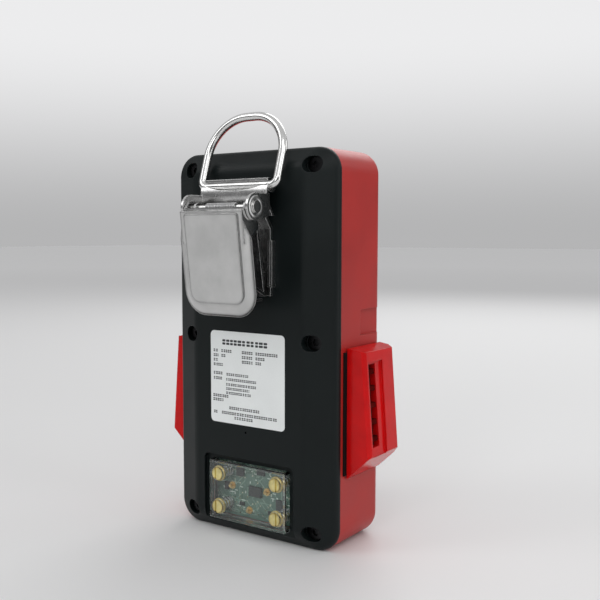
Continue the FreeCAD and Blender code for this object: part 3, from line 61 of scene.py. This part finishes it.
class Look:
    """A material under construction: its node tree and its Principled shader."""

    def __init__(self, name, colour, roughness, **sockets):
        self.material = bpy.data.materials.new(name)
        self.material.use_nodes = True
        self.tree = self.material.node_tree
        self.shader = self.tree.nodes["Principled BSDF"]
        self.shader.inputs["Base Color"].default_value = (*colour, 1)
        self.shader.inputs["Roughness"].default_value = roughness
        for socket, amount in sockets.items():
            self.shader.inputs[socket.replace("_", " ")].default_value = amount
        place = self.tree.nodes.new("ShaderNodeTexCoord")
        self.place = place.outputs["Object"]

    def node(self, kind, inputs=(), **settings):
        """A new node, its properties set and its inputs linked or filled in."""
        node = self.tree.nodes.new("ShaderNode" + kind)
        for name, setting in settings.items():
            setattr(node, name, setting)
        for name, source in dict(inputs).items():
            if isinstance(source, bpy.types.NodeSocket):
                self.tree.links.new(source, node.inputs[name])
            else:
                node.inputs[name].default_value = source
        return node

    def drive(self, socket, source):
        """The shader's socket is fed by source."""
        self.tree.links.new(source, self.shader.inputs[socket])

    def stretched(self, scale):
        """Object coordinates scaled unevenly."""
        return self.node("Mapping", {"Vector": self.place, "Scale": scale}).outputs["Vector"]

    def noise(self, size, detail=3.0, roughness=0.5, place=None):
        """Cloudy noise whose patches are about size metres across."""
        inputs = {"Vector": place or self.place, "Scale": 1 / size,
                  "Detail": detail, "Roughness": roughness}
        return self.node("TexNoise", inputs).outputs["Fac"]

    def cells(self, size, feature="F1"):
        """Distance to the centres of cells about size metres across."""
        inputs = {"Vector": self.place, "Scale": 1 / size}
        return self.node("TexVoronoi", inputs, feature=feature).outputs["Distance"]

    def span(self, source, low, high, out_low, out_high):
        """source's range from low to high, stretched to out_low to out_high."""
        inputs = {"Value": source, "From Min": low, "From Max": high,
                  "To Min": out_low, "To Max": out_high}
        return self.node("MapRange", inputs).outputs["Result"]

    def tint(self, factor, first, second):
        """A colour between first and second."""
        mix = self.node("Mix", data_type="RGBA")
        self.tree.links.new(factor, mix.inputs[0])
        for index, colour in ((6, first), (7, second)):
            if isinstance(colour, bpy.types.NodeSocket):
                self.tree.links.new(colour, mix.inputs[index])
            else:
                mix.inputs[index].default_value = (*colour, 1)
        return mix.outputs[2]

    def sum(self, *sources):
        """The sum of several values."""
        total = sources[0]
        for source in sources[1:]:
            total = self.node("Math", {0: total, 1: source}, operation="ADD").outputs[0]
        return total

    def times(self, source, factor):
        """A value times a number or another value."""
        return self.node("Math", {0: source, 1: factor}, operation="MULTIPLY").outputs[0]

    def edges(self, radius):
        """1 where the surface turns within radius metres, 0 where it is flat."""
        soft = self.node("Bevel", {"Radius": radius}).outputs["Normal"]
        hard = self.node("NewGeometry").outputs["Normal"]
        facing = self.node("VectorMath", {0: soft, 1: hard}, operation="DOT_PRODUCT").outputs["Value"]
        return self.span(facing, 0.995, 0.8, 0.0, 1.0)

    def beyond(self, source, limit):
        """1 where source is above limit, else 0."""
        return self.node("Math", {0: source, 1: limit}, operation="GREATER_THAN").outputs[0]

    def from_axis(self, x, z):
        """Distance from the line along Y through x and z, in metres."""
        moved = self.node("Mapping", {"Vector": self.place, "Location": (-x, 0, -z), "Scale": (1, 0, 1)})
        return self.node("VectorMath", {0: moved.outputs["Vector"]}, operation="LENGTH").outputs["Value"]

    def bump(self, height, depth, strength=1.0, radius=None):
        """Relief depth metres deep, on edges rounded to radius."""
        inputs = {"Height": height, "Distance": depth, "Strength": strength}
        if radius:
            inputs["Normal"] = self.node("Bevel", {"Radius": radius}).outputs["Normal"]
        self.drive("Normal", self.node("Bump", inputs).outputs["Normal"])


def moulded(name, colour, worn, roughness, grain, depth, **sockets):
    """Injection-moulded plastic with an eroded texture, faint flow marks and edges tinted towards worn:
    partly wear, partly a painted highlight.
    """
    look = Look(name, colour, roughness, **sockets)
    cloud = look.noise(18 * MM, 4.0)
    fine = look.noise(grain, 2.0, 0.6)
    base = look.tint(look.span(cloud, 0.3, 0.7, 0.0, 1.0), colour, [c * 1.22 for c in colour])
    # Lighter edges: partly wear, partly a painted highlight along the bevels.
    edge = look.times(look.edges(0.35 * MM), look.span(look.noise(3 * MM, 3.0), 0.35, 0.65, 0.25, 1.0))
    look.drive("Base Color", look.tint(edge, base, worn))
    rough = look.sum(look.span(cloud, 0.3, 0.7, roughness - 0.05, roughness + 0.05),
                     look.span(fine, 0.3, 0.7, -0.03, 0.03))
    look.drive("Roughness", rough)
    look.bump(look.sum(fine, look.times(look.cells(grain * 1.6), 0.5)), depth, 0.35, 0.3 * MM)
    return look.material


def polished(name, colour, low, high, fold=0.12 * MM, edge=0.0, shade=0.0):
    """Polished sheet metal: rubbing marks, smudges and folds rounded to a radius of fold.

    edge paints a highlight on the cut edges, and shade darkens a band along the folds.
    """
    look = Look(name, colour, low, Metallic=1.0)
    smear = look.noise(9 * MM, 5.0, 0.6)
    marks = look.noise(0.5 * MM, 2.0, 0.6, look.stretched((1.0, 1.0, 0.06)))
    base = look.tint(look.span(smear, 0.35, 0.65, 0.0, 1.0), colour, [c * 0.88 for c in colour])
    # Painted highlight: the cut edges are mixed towards near white, as far as edge asks.
    edge_highlight = look.times(look.edges(0.22 * MM), edge)
    band = look.times(look.edges(1.1 * MM), shade)
    banded = look.tint(band, base, [c * 0.2 for c in colour])
    look.drive("Base Color", look.tint(edge_highlight, banded, (0.95, 0.95, 0.94)))
    look.drive("Roughness", look.sum(look.span(smear, 0.35, 0.65, low, high), look.times(edge_highlight, 0.25),
                                     look.span(marks, 0.3, 0.7, 0.0, 0.05)))
    waves = look.times(look.noise(7 * MM, 2.0), 10.0)
    look.bump(look.sum(marks, waves), 0.003 * MM, 0.6, fold)
    return look.material


def turned(name, colour, roughness):
    """Turned or drawn metal with fine tool marks and a little tarnish."""
    look = Look(name, colour, roughness, Metallic=1.0)
    tarnish = look.noise(2.5 * MM, 4.0, 0.6)
    marks = look.noise(0.12 * MM, 2.0, 0.6)
    base = look.tint(look.span(tarnish, 0.35, 0.7, 0.0, 1.0), colour, [c * 0.7 for c in colour])
    look.drive("Base Color", base)
    look.drive("Roughness", look.span(tarnish, 0.3, 0.7, roughness - 0.06, roughness + 0.1))
    look.bump(marks, 0.004 * MM, 0.5, 0.08 * MM)
    return look.material


def glossy(name, colour, second, roughness, size=8 * MM, **sockets):
    """Smooth glossy plastic with slight colour streaks and hairline marks."""
    look = Look(name, colour, roughness, **sockets)
    cloud = look.noise(size, 3.0)
    look.drive("Base Color", look.tint(look.span(cloud, 0.3, 0.7, 0.0, 1.0), colour, second))
    hair = look.noise(1.5 * MM, 4.0, 0.7, look.stretched((1.0, 1.0, 0.15)))
    look.drive("Roughness", look.span(hair, 0.35, 0.7, roughness * 0.8, roughness * 1.5))
    look.bump(look.noise(5 * MM, 2.0), 0.02 * MM, 0.4, 0.3 * MM)
    return look.material


def clear(name, colour, roughness, index, rim=0.0):
    """Clear plastic or glass that lets shadow rays through, frosted by rim along its edges."""
    look = Look(name, colour, roughness, Transmission_Weight=1.0, IOR=index)
    haze = look.span(look.noise(4 * MM, 4.0, 0.6), 0.4, 0.7, roughness, roughness + 0.05)
    look.drive("Roughness", look.sum(haze, look.times(look.edges(0.25 * MM), rim)))
    passing = look.node("BsdfTransparent", {"Color": (*[c ** 0.5 for c in colour], 1)})
    shadow = look.node("LightPath").outputs["Is Shadow Ray"]
    mixed = look.node("MixShader", {0: shadow})
    look.tree.links.new(look.shader.outputs[0], mixed.inputs[1])
    look.tree.links.new(passing.outputs[0], mixed.inputs[2])
    output = look.tree.nodes["Material Output"]
    look.tree.links.new(mixed.outputs[0], output.inputs["Surface"])
    return look.material


def lathed(name, colour, roughness, node):
    """Metal turned round a node's own axis along Y: fine rings, and tarnish round the rim."""
    look = Look(name, colour, roughness, Metallic=1.0)
    low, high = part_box(node)
    away = look.from_axis((low.x + high.x) / 2, (low.z + high.z) / 2)
    rings = look.node("Math", {0: look.times(away, 2 * math.pi / (0.16 * MM))}, operation="SINE").outputs[0]
    tarnish = look.noise(2 * MM, 4.0, 0.6)
    worn = look.tint(look.span(tarnish, 0.35, 0.7, 0.0, 1.0), colour, [c * 0.72 for c in colour])
    rim = look.span(away, 1.7 * MM, 2.2 * MM, 0.0, 0.7)
    look.drive("Base Color", look.tint(rim, worn, (colour[0] * 0.55, colour[1] * 0.42, colour[2] * 0.3)))
    look.drive("Roughness", look.span(tarnish, 0.3, 0.7, roughness - 0.05, roughness + 0.12))
    look.bump(look.sum(rings, look.noise(0.4 * MM, 3.0)), 0.006 * MM, 0.5, 0.1 * MM)
    return look.material


def key_cap(name, colour, ink, node, ring):
    """Soft-touch key with a printed sign: a ring where ring is true, else a dash."""
    look = Look(name, colour, 0.5)
    low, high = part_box(node)
    middle = ((low.x + high.x) / 2, (low.z + high.z) / 2)
    away = look.from_axis(*middle)
    if ring:
        sign = look.times(look.beyond(away, 1.5 * MM), look.beyond(look.times(away, -1), -2.0 * MM))
    else:
        moved = look.node("Mapping", {"Vector": look.place, "Location": (-middle[0], 0, -middle[1])})
        size = look.node("VectorMath", {0: moved.outputs["Vector"]}, operation="ABSOLUTE").outputs["Vector"]
        part = look.node("SeparateXYZ", {"Vector": size}).outputs
        short = look.beyond(look.times(part["X"], -1), -1.8 * MM)
        sign = look.times(short, look.beyond(look.times(part["Z"], -1), -0.3 * MM))
    cloud = look.noise(4 * MM, 3.0)
    rubber = look.tint(look.span(cloud, 0.3, 0.7, 0.0, 1.0), colour, [c * 1.3 for c in colour])
    look.drive("Base Color", look.tint(sign, rubber, ink))
    look.drive("Roughness", look.span(cloud, 0.3, 0.7, 0.45, 0.58))
    look.bump(look.noise(0.15 * MM, 2.0), 0.006 * MM, 0.35, 0.2 * MM)
    return look.material


def paper(name, colour):
    """Printed film label: satin, mottled and faintly fibrous."""
    look = Look(name, colour, 0.38)
    fibre = look.noise(0.35 * MM, 3.0, 0.6)
    cloud = look.noise(12 * MM, 3.0)
    mottled = look.tint(look.span(cloud, 0.3, 0.7, 0.0, 1.0), colour, [c * 0.94 for c in colour])
    worn = look.span(fibre, 0.4, 0.8, 0.0, 0.25)
    look.drive("Base Color", look.tint(worn, mottled, [c * 0.8 for c in colour]))
    look.drive("Roughness", look.span(cloud, 0.3, 0.7, 0.33, 0.45))
    look.bump(fibre, 0.004 * MM, 0.4)
    return look.material


# ---------------------------------------------------------------- the finishes

# Each moulded finish's second colour is its edge colour: partly wear, partly a painted highlight.
FINISHES = {
    "black_case": moulded("black_case", (0.005, 0.0078, 0.008), (0.03, 0.036, 0.037), 0.42, 0.32 * MM,
                          0.012 * MM, Specular_IOR_Level=0.2),
    "red_case": moulded("red_case", (0.37, 0.016, 0.013), (0.5, 0.08, 0.06), 0.42, 0.3 * MM, 0.008 * MM,
                        Specular_IOR_Level=0.4),
    "red_lens": glossy("red_lens", (0.66, 0.005, 0.006), (0.55, 0.004, 0.005), 0.14, Specular_IOR_Level=0.18,
                       Subsurface_Weight=0.25, Subsurface_Radius=(0.003, 0.0003, 0.0002)),
    "lens_grille": glossy("lens_grille", (0.10, 0.006, 0.005), (0.06, 0.003, 0.003), 0.6, 3 * MM,
                          Specular_IOR_Level=0.0),
    "clip_steel": polished("clip_steel", (0.78, 0.78, 0.77), 0.1, 0.17),
    "screw_steel": turned("screw_steel", (0.035, 0.035, 0.037), 0.32),
    "spring_steel": turned("spring_steel", (0.6, 0.6, 0.6), 0.25),
    "label_white": paper("label_white", (0.9, 0.93, 0.925)),
    "window_clear": clear("window_clear", (0.93, 0.98, 0.96), 0.02, 1.5, 0.35),
    "contact_brass": turned("contact_brass", (0.78, 0.52, 0.22), 0.28),
    "board_green": glossy("board_green", (0.13, 0.21, 0.17), (0.09, 0.155, 0.13), 0.3, 3 * MM),
    "chip_black": moulded("chip_black", (0.03, 0.03, 0.032), (0.06, 0.06, 0.06), 0.5, 0.1 * MM, 0.004 * MM),
    "seal_rubber": moulded("seal_rubber", (0.004, 0.004, 0.004), (0.01, 0.01, 0.01), 0.8, 0.2 * MM,
                           0.01 * MM, Specular_IOR_Level=0.15),
    "display_dark": glossy("display_dark", (0.12, 0.15, 0.12), (0.1, 0.13, 0.1), 0.3),
    "display_glass": clear("display_glass", (0.62, 0.65, 0.65), 0.02, 1.5),
    "sensor_white": moulded("sensor_white", (0.7, 0.7, 0.66), (0.8, 0.8, 0.78), 0.45, 0.3 * MM, 0.006 * MM),
    "filter_white": moulded("filter_white", (0.8, 0.8, 0.79), (0.85, 0.85, 0.85), 0.85, 0.12 * MM,
                            0.02 * MM),
    "frame_plastic": moulded("frame_plastic", (0.2, 0.2, 0.2), (0.28, 0.28, 0.28), 0.5, 0.3 * MM,
                             0.008 * MM),
    "battery_silver": polished("battery_silver", (0.55, 0.56, 0.58), 0.28, 0.4),
    "buzzer_black": moulded("buzzer_black", (0.02, 0.02, 0.02), (0.05, 0.05, 0.05), 0.45, 0.2 * MM,
                            0.006 * MM),
    "motor_steel": turned("motor_steel", (0.55, 0.55, 0.55), 0.3),
    "lamp_clear": glossy("lamp_clear", (0.8, 0.2, 0.15), (0.7, 0.15, 0.1), 0.1),
    "spacer_brass": turned("spacer_brass", (0.8, 0.62, 0.28), 0.3),
}
BRASS = (0.95, 0.84, 0.4)
KEY_GREY = (0.075, 0.078, 0.08)
OWN = {f"charge_contact_{number}": lathed(f"brass_{number}", BRASS, 0.38, f"charge_contact_{number}")
       for number in (1, 2, 3, 4)}
for key in ("left", "power", "right"):
    OWN[f"key_{key}"] = key_cap(f"key_{key}", KEY_GREY, (0.62, 0.63, 0.63), f"key_{key}", key == "power")
# Painted highlights on the cut edges of lever, base and jaw, and painted shade along the lever's folds.
OWN["clip_lever"] = polished("lever_steel", (0.6, 0.6, 0.595), 0.14, 0.2, 0.45 * MM, 0.6, 1.0)
OWN["clip_base"] = polished("base_steel", (0.72, 0.72, 0.715), 0.16, 0.26, 0.2 * MM, 0.8)
# The jaw's dark steel colour is painted shade for the inside of the clip.
OWN["clip_jaw"] = polished("jaw_steel_painted_shade", (0.3, 0.3, 0.3), 0.2, 0.28, 0.15 * MM, 0.9)
for name, node in frame["nodes"].items():
    for held in node.material_slots:
        held.material = OWN.get(name) or FINISHES[held.material.name.split(".")[0]]

# ---------------------------------------------------------------- printed and etched detail


def add_piece(mesh, name, body, material, smooth=False):
    """Turn a bmesh into an object with one material, which rides on a body."""
    bmesh.ops.recalc_face_normals(mesh, faces=mesh.faces)
    for face in mesh.faces:
        face.smooth = smooth
    data = bpy.data.meshes.new(name)
    mesh.to_mesh(data)
    mesh.free()
    data.materials.append(material)
    piece = bpy.data.objects.new(name, data)
    bpy.context.scene.collection.objects.link(piece)
    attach(piece, body)
    return piece


class Sheet:
    """A thin printed or etched layer: small flat slabs in X and Z on a surface that faces along Y."""

    def __init__(self, y, thick):
        self.mesh = bmesh.new()
        self.y = y
        self.thick = thick

    def slab(self, corners):
        """A slab with the given x, z corners."""
        near, far = ([self.mesh.verts.new((x, y, z)) for x, z in corners]
                     for y in (self.y, self.y + self.thick))
        self.mesh.faces.new(near)
        self.mesh.faces.new(far)
        for index, low in enumerate(near):
            after = (index + 1) % len(near)
            self.mesh.faces.new((low, near[after], far[after], far[index]))

    def block(self, x, z, width, height):
        """A rectangle with cut corners, from its corner at the lowest x and z."""
        cut = min(width, height) * 0.22
        right, top = x + width, z + height
        self.slab([(x + cut, z), (right - cut, z), (right, z + cut), (right, top - cut),
                   (right - cut, top), (x + cut, top), (x, top - cut), (x, z + cut)])

    def line(self, start, end, width):
        """A straight track between two points, with pointed ends."""
        run = Vector((end[0] - start[0], end[1] - start[1]))
        if run.length == 0:
            return
        along = run.normalized() * width / 2
        across = Vector((-along.y, along.x))
        a, b = Vector(start), Vector(end)
        ends = (a - across, b - across, b + along, b + across, a + across, a - along)
        self.slab([tuple(point) for point in ends])

    def dot(self, x, z, radius, sides=12):
        """A round pad."""
        turn = 2 * math.pi / sides
        self.slab([(x + radius * math.cos(turn * step), z + radius * math.sin(turn * step))
                   for step in range(sides)])

    def piece(self, name, body, slot, material):
        """The finished layer as a piece that rides on a body."""
        add_piece(self.mesh, name, body, material)


def ink(name, colour, roughness=0.45):
    """Printed ink with slightly uneven cover."""
    look = Look(name, colour, roughness)
    cover = look.noise(0.5 * MM, 3.0, 0.6)
    thin = look.span(cover, 0.4, 0.75, 0.0, 1.0)
    look.drive("Base Color", look.tint(thin, colour, [c * 1.5 for c in colour]))
    look.drive("Roughness", look.span(cover, 0.3, 0.7, roughness - 0.06, roughness + 0.08))
    look.bump(cover, 0.002 * MM, 0.3)
    return look.material


# Rows of the label: left and right ends as parts of its width, height of the row's middle
# as a part of the label's height, and the height of the marks in mm.
LABEL_HEADING = [(0.165, 0.78, 0.118, 1.9)]
LABEL_ROWS = [
    (0.04, 0.11, 0.215, 1.0), (0.15, 0.31, 0.215, 1.0), (0.435, 0.58, 0.215, 1.0), (0.62, 0.91, 0.215, 1.0),
    (0.04, 0.11, 0.267, 1.0), (0.15, 0.215, 0.267, 1.0), (0.435, 0.58, 0.267, 1.0), (0.62, 0.74, 0.267, 1.0),
    (0.04, 0.11, 0.317, 1.0), (0.435, 0.58, 0.317, 1.0), (0.62, 0.70, 0.317, 1.0), (0.04, 0.17, 0.368, 1.0),
    (0.04, 0.17, 0.461, 1.0), (0.22, 0.52, 0.467, 0.9), (0.04, 0.17, 0.517, 1.0), (0.215, 0.627, 0.522, 0.9),
    (0.215, 0.634, 0.577, 0.9), (0.215, 0.535, 0.623, 0.9), (0.215, 0.558, 0.669, 0.9),
    (0.032, 0.245, 0.708, 1.0), (0.032, 0.176, 0.753, 1.0), (0.256, 0.668, 0.83, 1.0),
    (0.04, 0.10, 0.889, 1.0), (0.153, 0.90, 0.889, 1.0), (0.33, 0.588, 0.934, 1.0),
]


def label_print(name, rows, colour, seed):
    """Rows of plain two-bar marks in place of the label's print."""
    low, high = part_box("rear_label")
    layer = Sheet(high.y, 0.012 * MM)
    draw = random.Random(seed)
    for start, end, level, size in rows:
        height = size * MM
        z = high.z - level * (high.z - low.z) - height / 2
        x = high.x - start * (high.x - low.x)
        stop = high.x - end * (high.x - low.x)
        while x > stop + 0.3 * height:
            width = min(height * draw.uniform(0.62, 0.88), x - stop)
            layer.block(x - width, z, width, 0.4 * height)
            layer.block(x - width, z + 0.55 * height, width, 0.4 * height)
            x -= width + height * draw.choice((0.16, 0.18, 0.18, 0.34))
    layer.piece(name, "case", "chip_black", ink(name, colour))


def board_tracks(name, node, seed, count, pitch):
    """Tracks and round pads on a board's rear face, from a seeded random walk."""
    low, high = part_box(node)
    tracks = Sheet(high.y, 0.015 * MM)
    pads = Sheet(high.y, 0.035 * MM)
    draw = random.Random(seed)
    margin = 1.2 * MM

    def inside(x, z):
        return (min(max(x, low.x + margin), high.x - margin),
                min(max(z, low.z + margin), high.z - margin))

    for _ in range(count):
        x = round(draw.uniform(low.x, high.x) / pitch) * pitch
        z = round(draw.uniform(low.z, high.z) / pitch) * pitch
        here = inside(x, z)
        pads.dot(*here, 0.28 * MM)
        for _ in range(draw.choice((2, 3, 3))):
            reach = pitch * draw.choice((1, 2, 3, 4, 6))
            turn = draw.choice((0, 1, 2, 3, 4, 5, 6, 7)) * math.pi / 4
            there = inside(here[0] + reach * math.cos(turn), here[1] + reach * math.sin(turn))
            tracks.line(here, there, draw.choice((0.16, 0.2, 0.3)) * MM)
            here = there
        pads.dot(*here, 0.22 * MM)
    tracks.piece(name + "_tracks", "case", "board_green", FINISHES["track"])
    pads.piece(name + "_pads", "case", "spacer_brass", FINISHES["pad"])


def board_silk(name, node, seed, count):
    """Small bars printed on a board's rear face."""
    low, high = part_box(node)
    silk = Sheet(high.y, 0.045 * MM)
    draw = random.Random(seed)
    for _ in range(count):
        x = draw.uniform(low.x + 2 * MM, high.x - 4 * MM)
        z = draw.uniform(low.z + 2 * MM, high.z - 3 * MM)
        width, height = draw.choice(((0.7, 0.35), (1.3, 0.3), (0.35, 0.9), (1.8, 0.3)))
        silk.block(x, z, width * MM, height * MM)
    silk.piece(name + "_silk", "case", "label_white", FINISHES["silk"])


def ear_dishes():
    """Raised rings on the clip's ears, round the pin's riveted ends."""
    low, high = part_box("clip_pin")
    middle = (low + high) / 2
    rivet_height = 0.6 * MM
    # radius and rise of each ring of the profile, in mm
    profile = [(3.5, 0.01), (3.4, 0.12), (3.15, 0.2), (2.85, 0.23), (2.55, 0.19), (2.3, 0.1), (2.1, 0.02)]
    sides = 64
    full_turn = 2 * math.pi
    dishes = bmesh.new()
    for side, face in ((-1, low.x + rivet_height), (1, high.x - rivet_height)):
        rings = [[dishes.verts.new((face + side * rise * MM,
                                    middle.y + radius * MM * math.cos(full_turn * step / sides),
                                    middle.z + radius * MM * math.sin(full_turn * step / sides)))
                  for step in range(sides)] for radius, rise in profile]
        for outer, inner in zip(rings, rings[1:] + rings[:1]):
            for step in range(sides):
                after = (step + 1) % sides
                dishes.faces.new((outer[step], outer[after], inner[after], inner[step]))
    steel = polished("dish_steel", (0.82, 0.82, 0.81), 0.24, 0.34)
    add_piece(dishes, "ear_dishes", "case", steel, smooth=True)


def contact_spring(number):
    """A compression spring with closed end turns, in place of the CAD's spring, which it hides."""
    node = f"contact_spring_{number}"
    low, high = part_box(node)
    wire = 0.27 * MM  # radius of the wire
    radius = (high.x - low.x) / 2 - wire
    middle = (low + high) / 2
    closed, open_turns = 0.75, 3.0
    rise = high.y - low.y - 2 * wire
    closed_rise = 2.1 * wire * closed
    steps, sides = 132, 10
    turns = 2 * closed + open_turns
    coil = bmesh.new()
    rings = []
    for step in range(steps + 1):
        turn = turns * step / steps
        opened = min(max(turn - closed, 0.0), open_turns)
        ends = turn - opened
        height = low.y + wire + ends * closed_rise / closed + opened * (rise - 2 * closed_rise) / open_turns
        angle = 2 * math.pi * turn
        ring = []
        for side in range(sides):
            round_wire = 2 * math.pi * side / sides
            out = radius + wire * math.cos(round_wire)
            ring.append(coil.verts.new((middle.x + out * math.cos(angle),
                                        height + wire * math.sin(round_wire),
                                        middle.z + out * math.sin(angle))))
        rings.append(ring)
    for ring, following in zip(rings, rings[1:]):
        for side in range(sides):
            after = (side + 1) % sides
            coil.faces.new((ring[side], ring[after], following[after], following[side]))
    coil.faces.new(rings[0])
    coil.faces.new(rings[-1])
    wound = add_piece(coil, f"wound_{node}", "case", FINISHES["spring_steel"], smooth=True)
    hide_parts(node)
    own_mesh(wound)


DIGIT_STROKES = [((0.1, 0.0), (0.9, 0.0)), ((0.1, 0.5), (0.9, 0.5)), ((0.1, 1.0), (0.9, 1.0)),
                 ((0.0, 0.06), (0.0, 0.44)), ((1.0, 0.06), (1.0, 0.44)),
                 ((0.0, 0.56), (0.0, 0.94)), ((1.0, 0.56), (1.0, 0.94))]


def display_segments():
    """Unlit seven-stroke digits in four fields, with the lines between the fields."""
    low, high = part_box("display_module")
    thick = 0.03 * MM
    layer = Sheet(low.y - thick, thick)
    middle = Vector(((low.x + high.x) / 2, 0, (low.z + high.z) / 2))
    across, up, rule = 18 * MM, 13 * MM, 0.25 * MM
    digit_width, digit_height, digit_pitch, digit_drop = 3, 6, 4.6, 3.2
    stroke = 0.5 * MM
    layer.line((middle.x - across, middle.z), (middle.x + across, middle.z), rule)
    layer.line((middle.x, middle.z - up), (middle.x, middle.z + up), rule)
    for field_x in (-9.5, 9.5):
        for field_z in (-7.2, 6.6):
            for step in (-1, 0, 1):
                x = middle.x + (field_x + digit_pitch * step - digit_width / 2) * MM
                z = middle.z + (field_z - digit_drop) * MM
                for start, end in DIGIT_STROKES:
                    layer.line((x + start[0] * digit_width * MM, z + start[1] * digit_height * MM),
                               (x + end[0] * digit_width * MM, z + end[1] * digit_height * MM), stroke)
    layer.piece("display_segments", "case", "display_dark", ink("segment_ink", (0.02, 0.026, 0.022), 0.35))


FINISHES["track"] = glossy("track", (0.33, 0.44, 0.36), (0.24, 0.35, 0.29), 0.3, 2 * MM)
FINISHES["pad"] = turned("pad", (0.78, 0.74, 0.6), 0.25)
FINISHES["silk"] = ink("silk", (0.6, 0.63, 0.6))
label_print("label_heading", LABEL_HEADING, (0.035, 0.037, 0.04), 7)
label_print("label_print", LABEL_ROWS, (0.06, 0.063, 0.066), 11)
board_tracks("charge_board", "charge_board", 3, 90, 1.1 * MM)
board_silk("charge_board", "charge_board", 5, 60)
display_segments()
ear_dishes()
for joint in frame["record"]["behaviour"]["joints"]:
    if joint["name"].startswith("contact_press_"):
        contact_spring(int(joint["name"][-1]))

# ---------------------------------------------------------------- stage


def stage_plane(name, corners, material):
    """A flat piece of the stage."""
    mesh = bpy.data.meshes.new(name)
    mesh.from_pydata(corners, [], [tuple(range(len(corners)))])
    plane = bpy.data.objects.new(name, mesh)
    bpy.context.scene.collection.objects.link(plane)
    plane.data.materials.append(material)
    return plane


FLOOR_HALF = 6.0
floor_look = Look("floor_pale", (0.8, 0.8, 0.8), 0.6)
away = floor_look.node("VectorMath", {0: floor_look.place}, operation="LENGTH").outputs["Value"]
far_away = floor_look.span(away, 0.3, 2.5, 0.0, 1.0)
# Painted light: the floor's colour grows lighter with distance from the middle, so that it fades into the
# backdrop.
floor_look.drive("Base Color", floor_look.tint(far_away, (0.78, 0.78, 0.78), (0.97, 0.97, 0.97)))
floor_corners = [(x * FLOOR_HALF, y * FLOOR_HALF, 0.0) for x, y in ((-1, -1), (1, -1), (1, 1), (-1, 1))]
stage_plane("floor", floor_corners, floor_look.material)


# A dark card, hidden from the camera, from diffuse light and from shadows, that polished folds reflect.
card_look = Look("card_dark", (0.02, 0.02, 0.02), 0.8)
card_look.drive("Roughness", card_look.span(card_look.noise(0.1, 2.0), 0.3, 0.7, 0.7, 0.9))
card = stage_plane("dark_card", [(-0.52, 0.9, 0.0), (-0.2, 1.0, 0.0), (-0.2, 1.0, 0.32), (-0.52, 0.9, 0.32)],
                   card_look.material)
card.visible_camera = card.visible_diffuse = card.visible_shadow = False


def softbox(name, at, target, width, height, power):
    """A rectangular studio lamp at a place, aimed at a target."""
    lamp = bpy.data.lights.new(name, "AREA")
    lamp.shape = "RECTANGLE"
    lamp.size = width
    lamp.size_y = height
    lamp.energy = power
    holder = bpy.data.objects.new(name, lamp)
    bpy.context.scene.collection.objects.link(holder)
    holder.location = at
    holder.rotation_euler = (Vector(target) - Vector(at)).to_track_quat("-Z", "Y").to_euler()
    holder.visible_camera = False


MIDDLE = (0.0, 0.0, 0.07)
softbox("key_lamp", (-0.55, 0.55, 0.75), MIDDLE, 0.5, 0.5, 1.6)
softbox("left_lamp", (0.7, 0.75, 0.8), MIDDLE, 0.4, 0.6, 1.8)
softbox("side_lamp", (-0.9, 0.0, 0.3), MIDDLE, 0.35, 0.8, 1.4)
softbox("front_lamp", (0.2, -0.8, 0.7), MIDDLE, 0.6, 0.6, 2.8)
softbox("rim_lamp", (-0.62, -0.82, 0.5), MIDDLE, 0.35, 0.35, 0.6)
softbox("back_lamp", (-0.2, 1.2, 0.55), MIDDLE, 0.3, 0.5, 1.8)


def studio_world():
    """Pale backdrop for camera rays, and a light that falls off from overhead for all others."""
    world = bpy.data.worlds.new("studio")
    bpy.context.scene.world = world
    world.use_nodes = True
    tree = world.node_tree
    light = tree.nodes["Background"]
    light.inputs["Strength"].default_value = 0.62
    place = tree.nodes.new("ShaderNodeTexCoord")
    height = tree.nodes.new("ShaderNodeSeparateXYZ")
    tree.links.new(place.outputs["Generated"], height.inputs["Vector"])
    backdrop = tree.nodes.new("ShaderNodeBackground")
    for background, stops in ((light, ((0.0, 0.14), (0.75, 1.0))), (backdrop, ((0.0, 0.46), (0.22, 0.84)))):
        ramp = tree.nodes.new("ShaderNodeValToRGB")
        ramp.color_ramp.interpolation = "EASE"
        for stop, (position, level) in zip(ramp.color_ramp.elements, stops):
            stop.position = position
            stop.color = (level, level, level * 1.01, 1)
        tree.links.new(height.outputs["Z"], ramp.inputs["Fac"])
        tree.links.new(ramp.outputs["Color"], background.inputs["Color"])
    path = tree.nodes.new("ShaderNodeLightPath")
    mixed = tree.nodes.new("ShaderNodeMixShader")
    tree.links.new(path.outputs["Is Camera Ray"], mixed.inputs[0])
    tree.links.new(light.outputs[0], mixed.inputs[1])
    tree.links.new(backdrop.outputs[0], mixed.inputs[2])
    tree.links.new(mixed.outputs[0], tree.nodes["World Output"].inputs["Surface"])


studio_world()

# ---------------------------------------------------------------- camera

camera = bpy.data.cameras.new("camera")
camera.lens = 51.5
camera.sensor_width = 36.0
camera.shift_x = 0.025
camera.shift_y = 0.0095
camera.clip_start = 0.01
viewer = bpy.data.objects.new("camera", camera)
bpy.context.scene.collection.objects.link(viewer)
viewer.location = (-0.1739, 0.2397, 0.1024)
viewer.rotation_euler = Vector((0.5758, -0.8134, -0.0824)).to_track_quat("-Z", "Y").to_euler()
bpy.context.scene.camera = viewer
bpy.context.scene.view_settings.view_transform = "Standard"
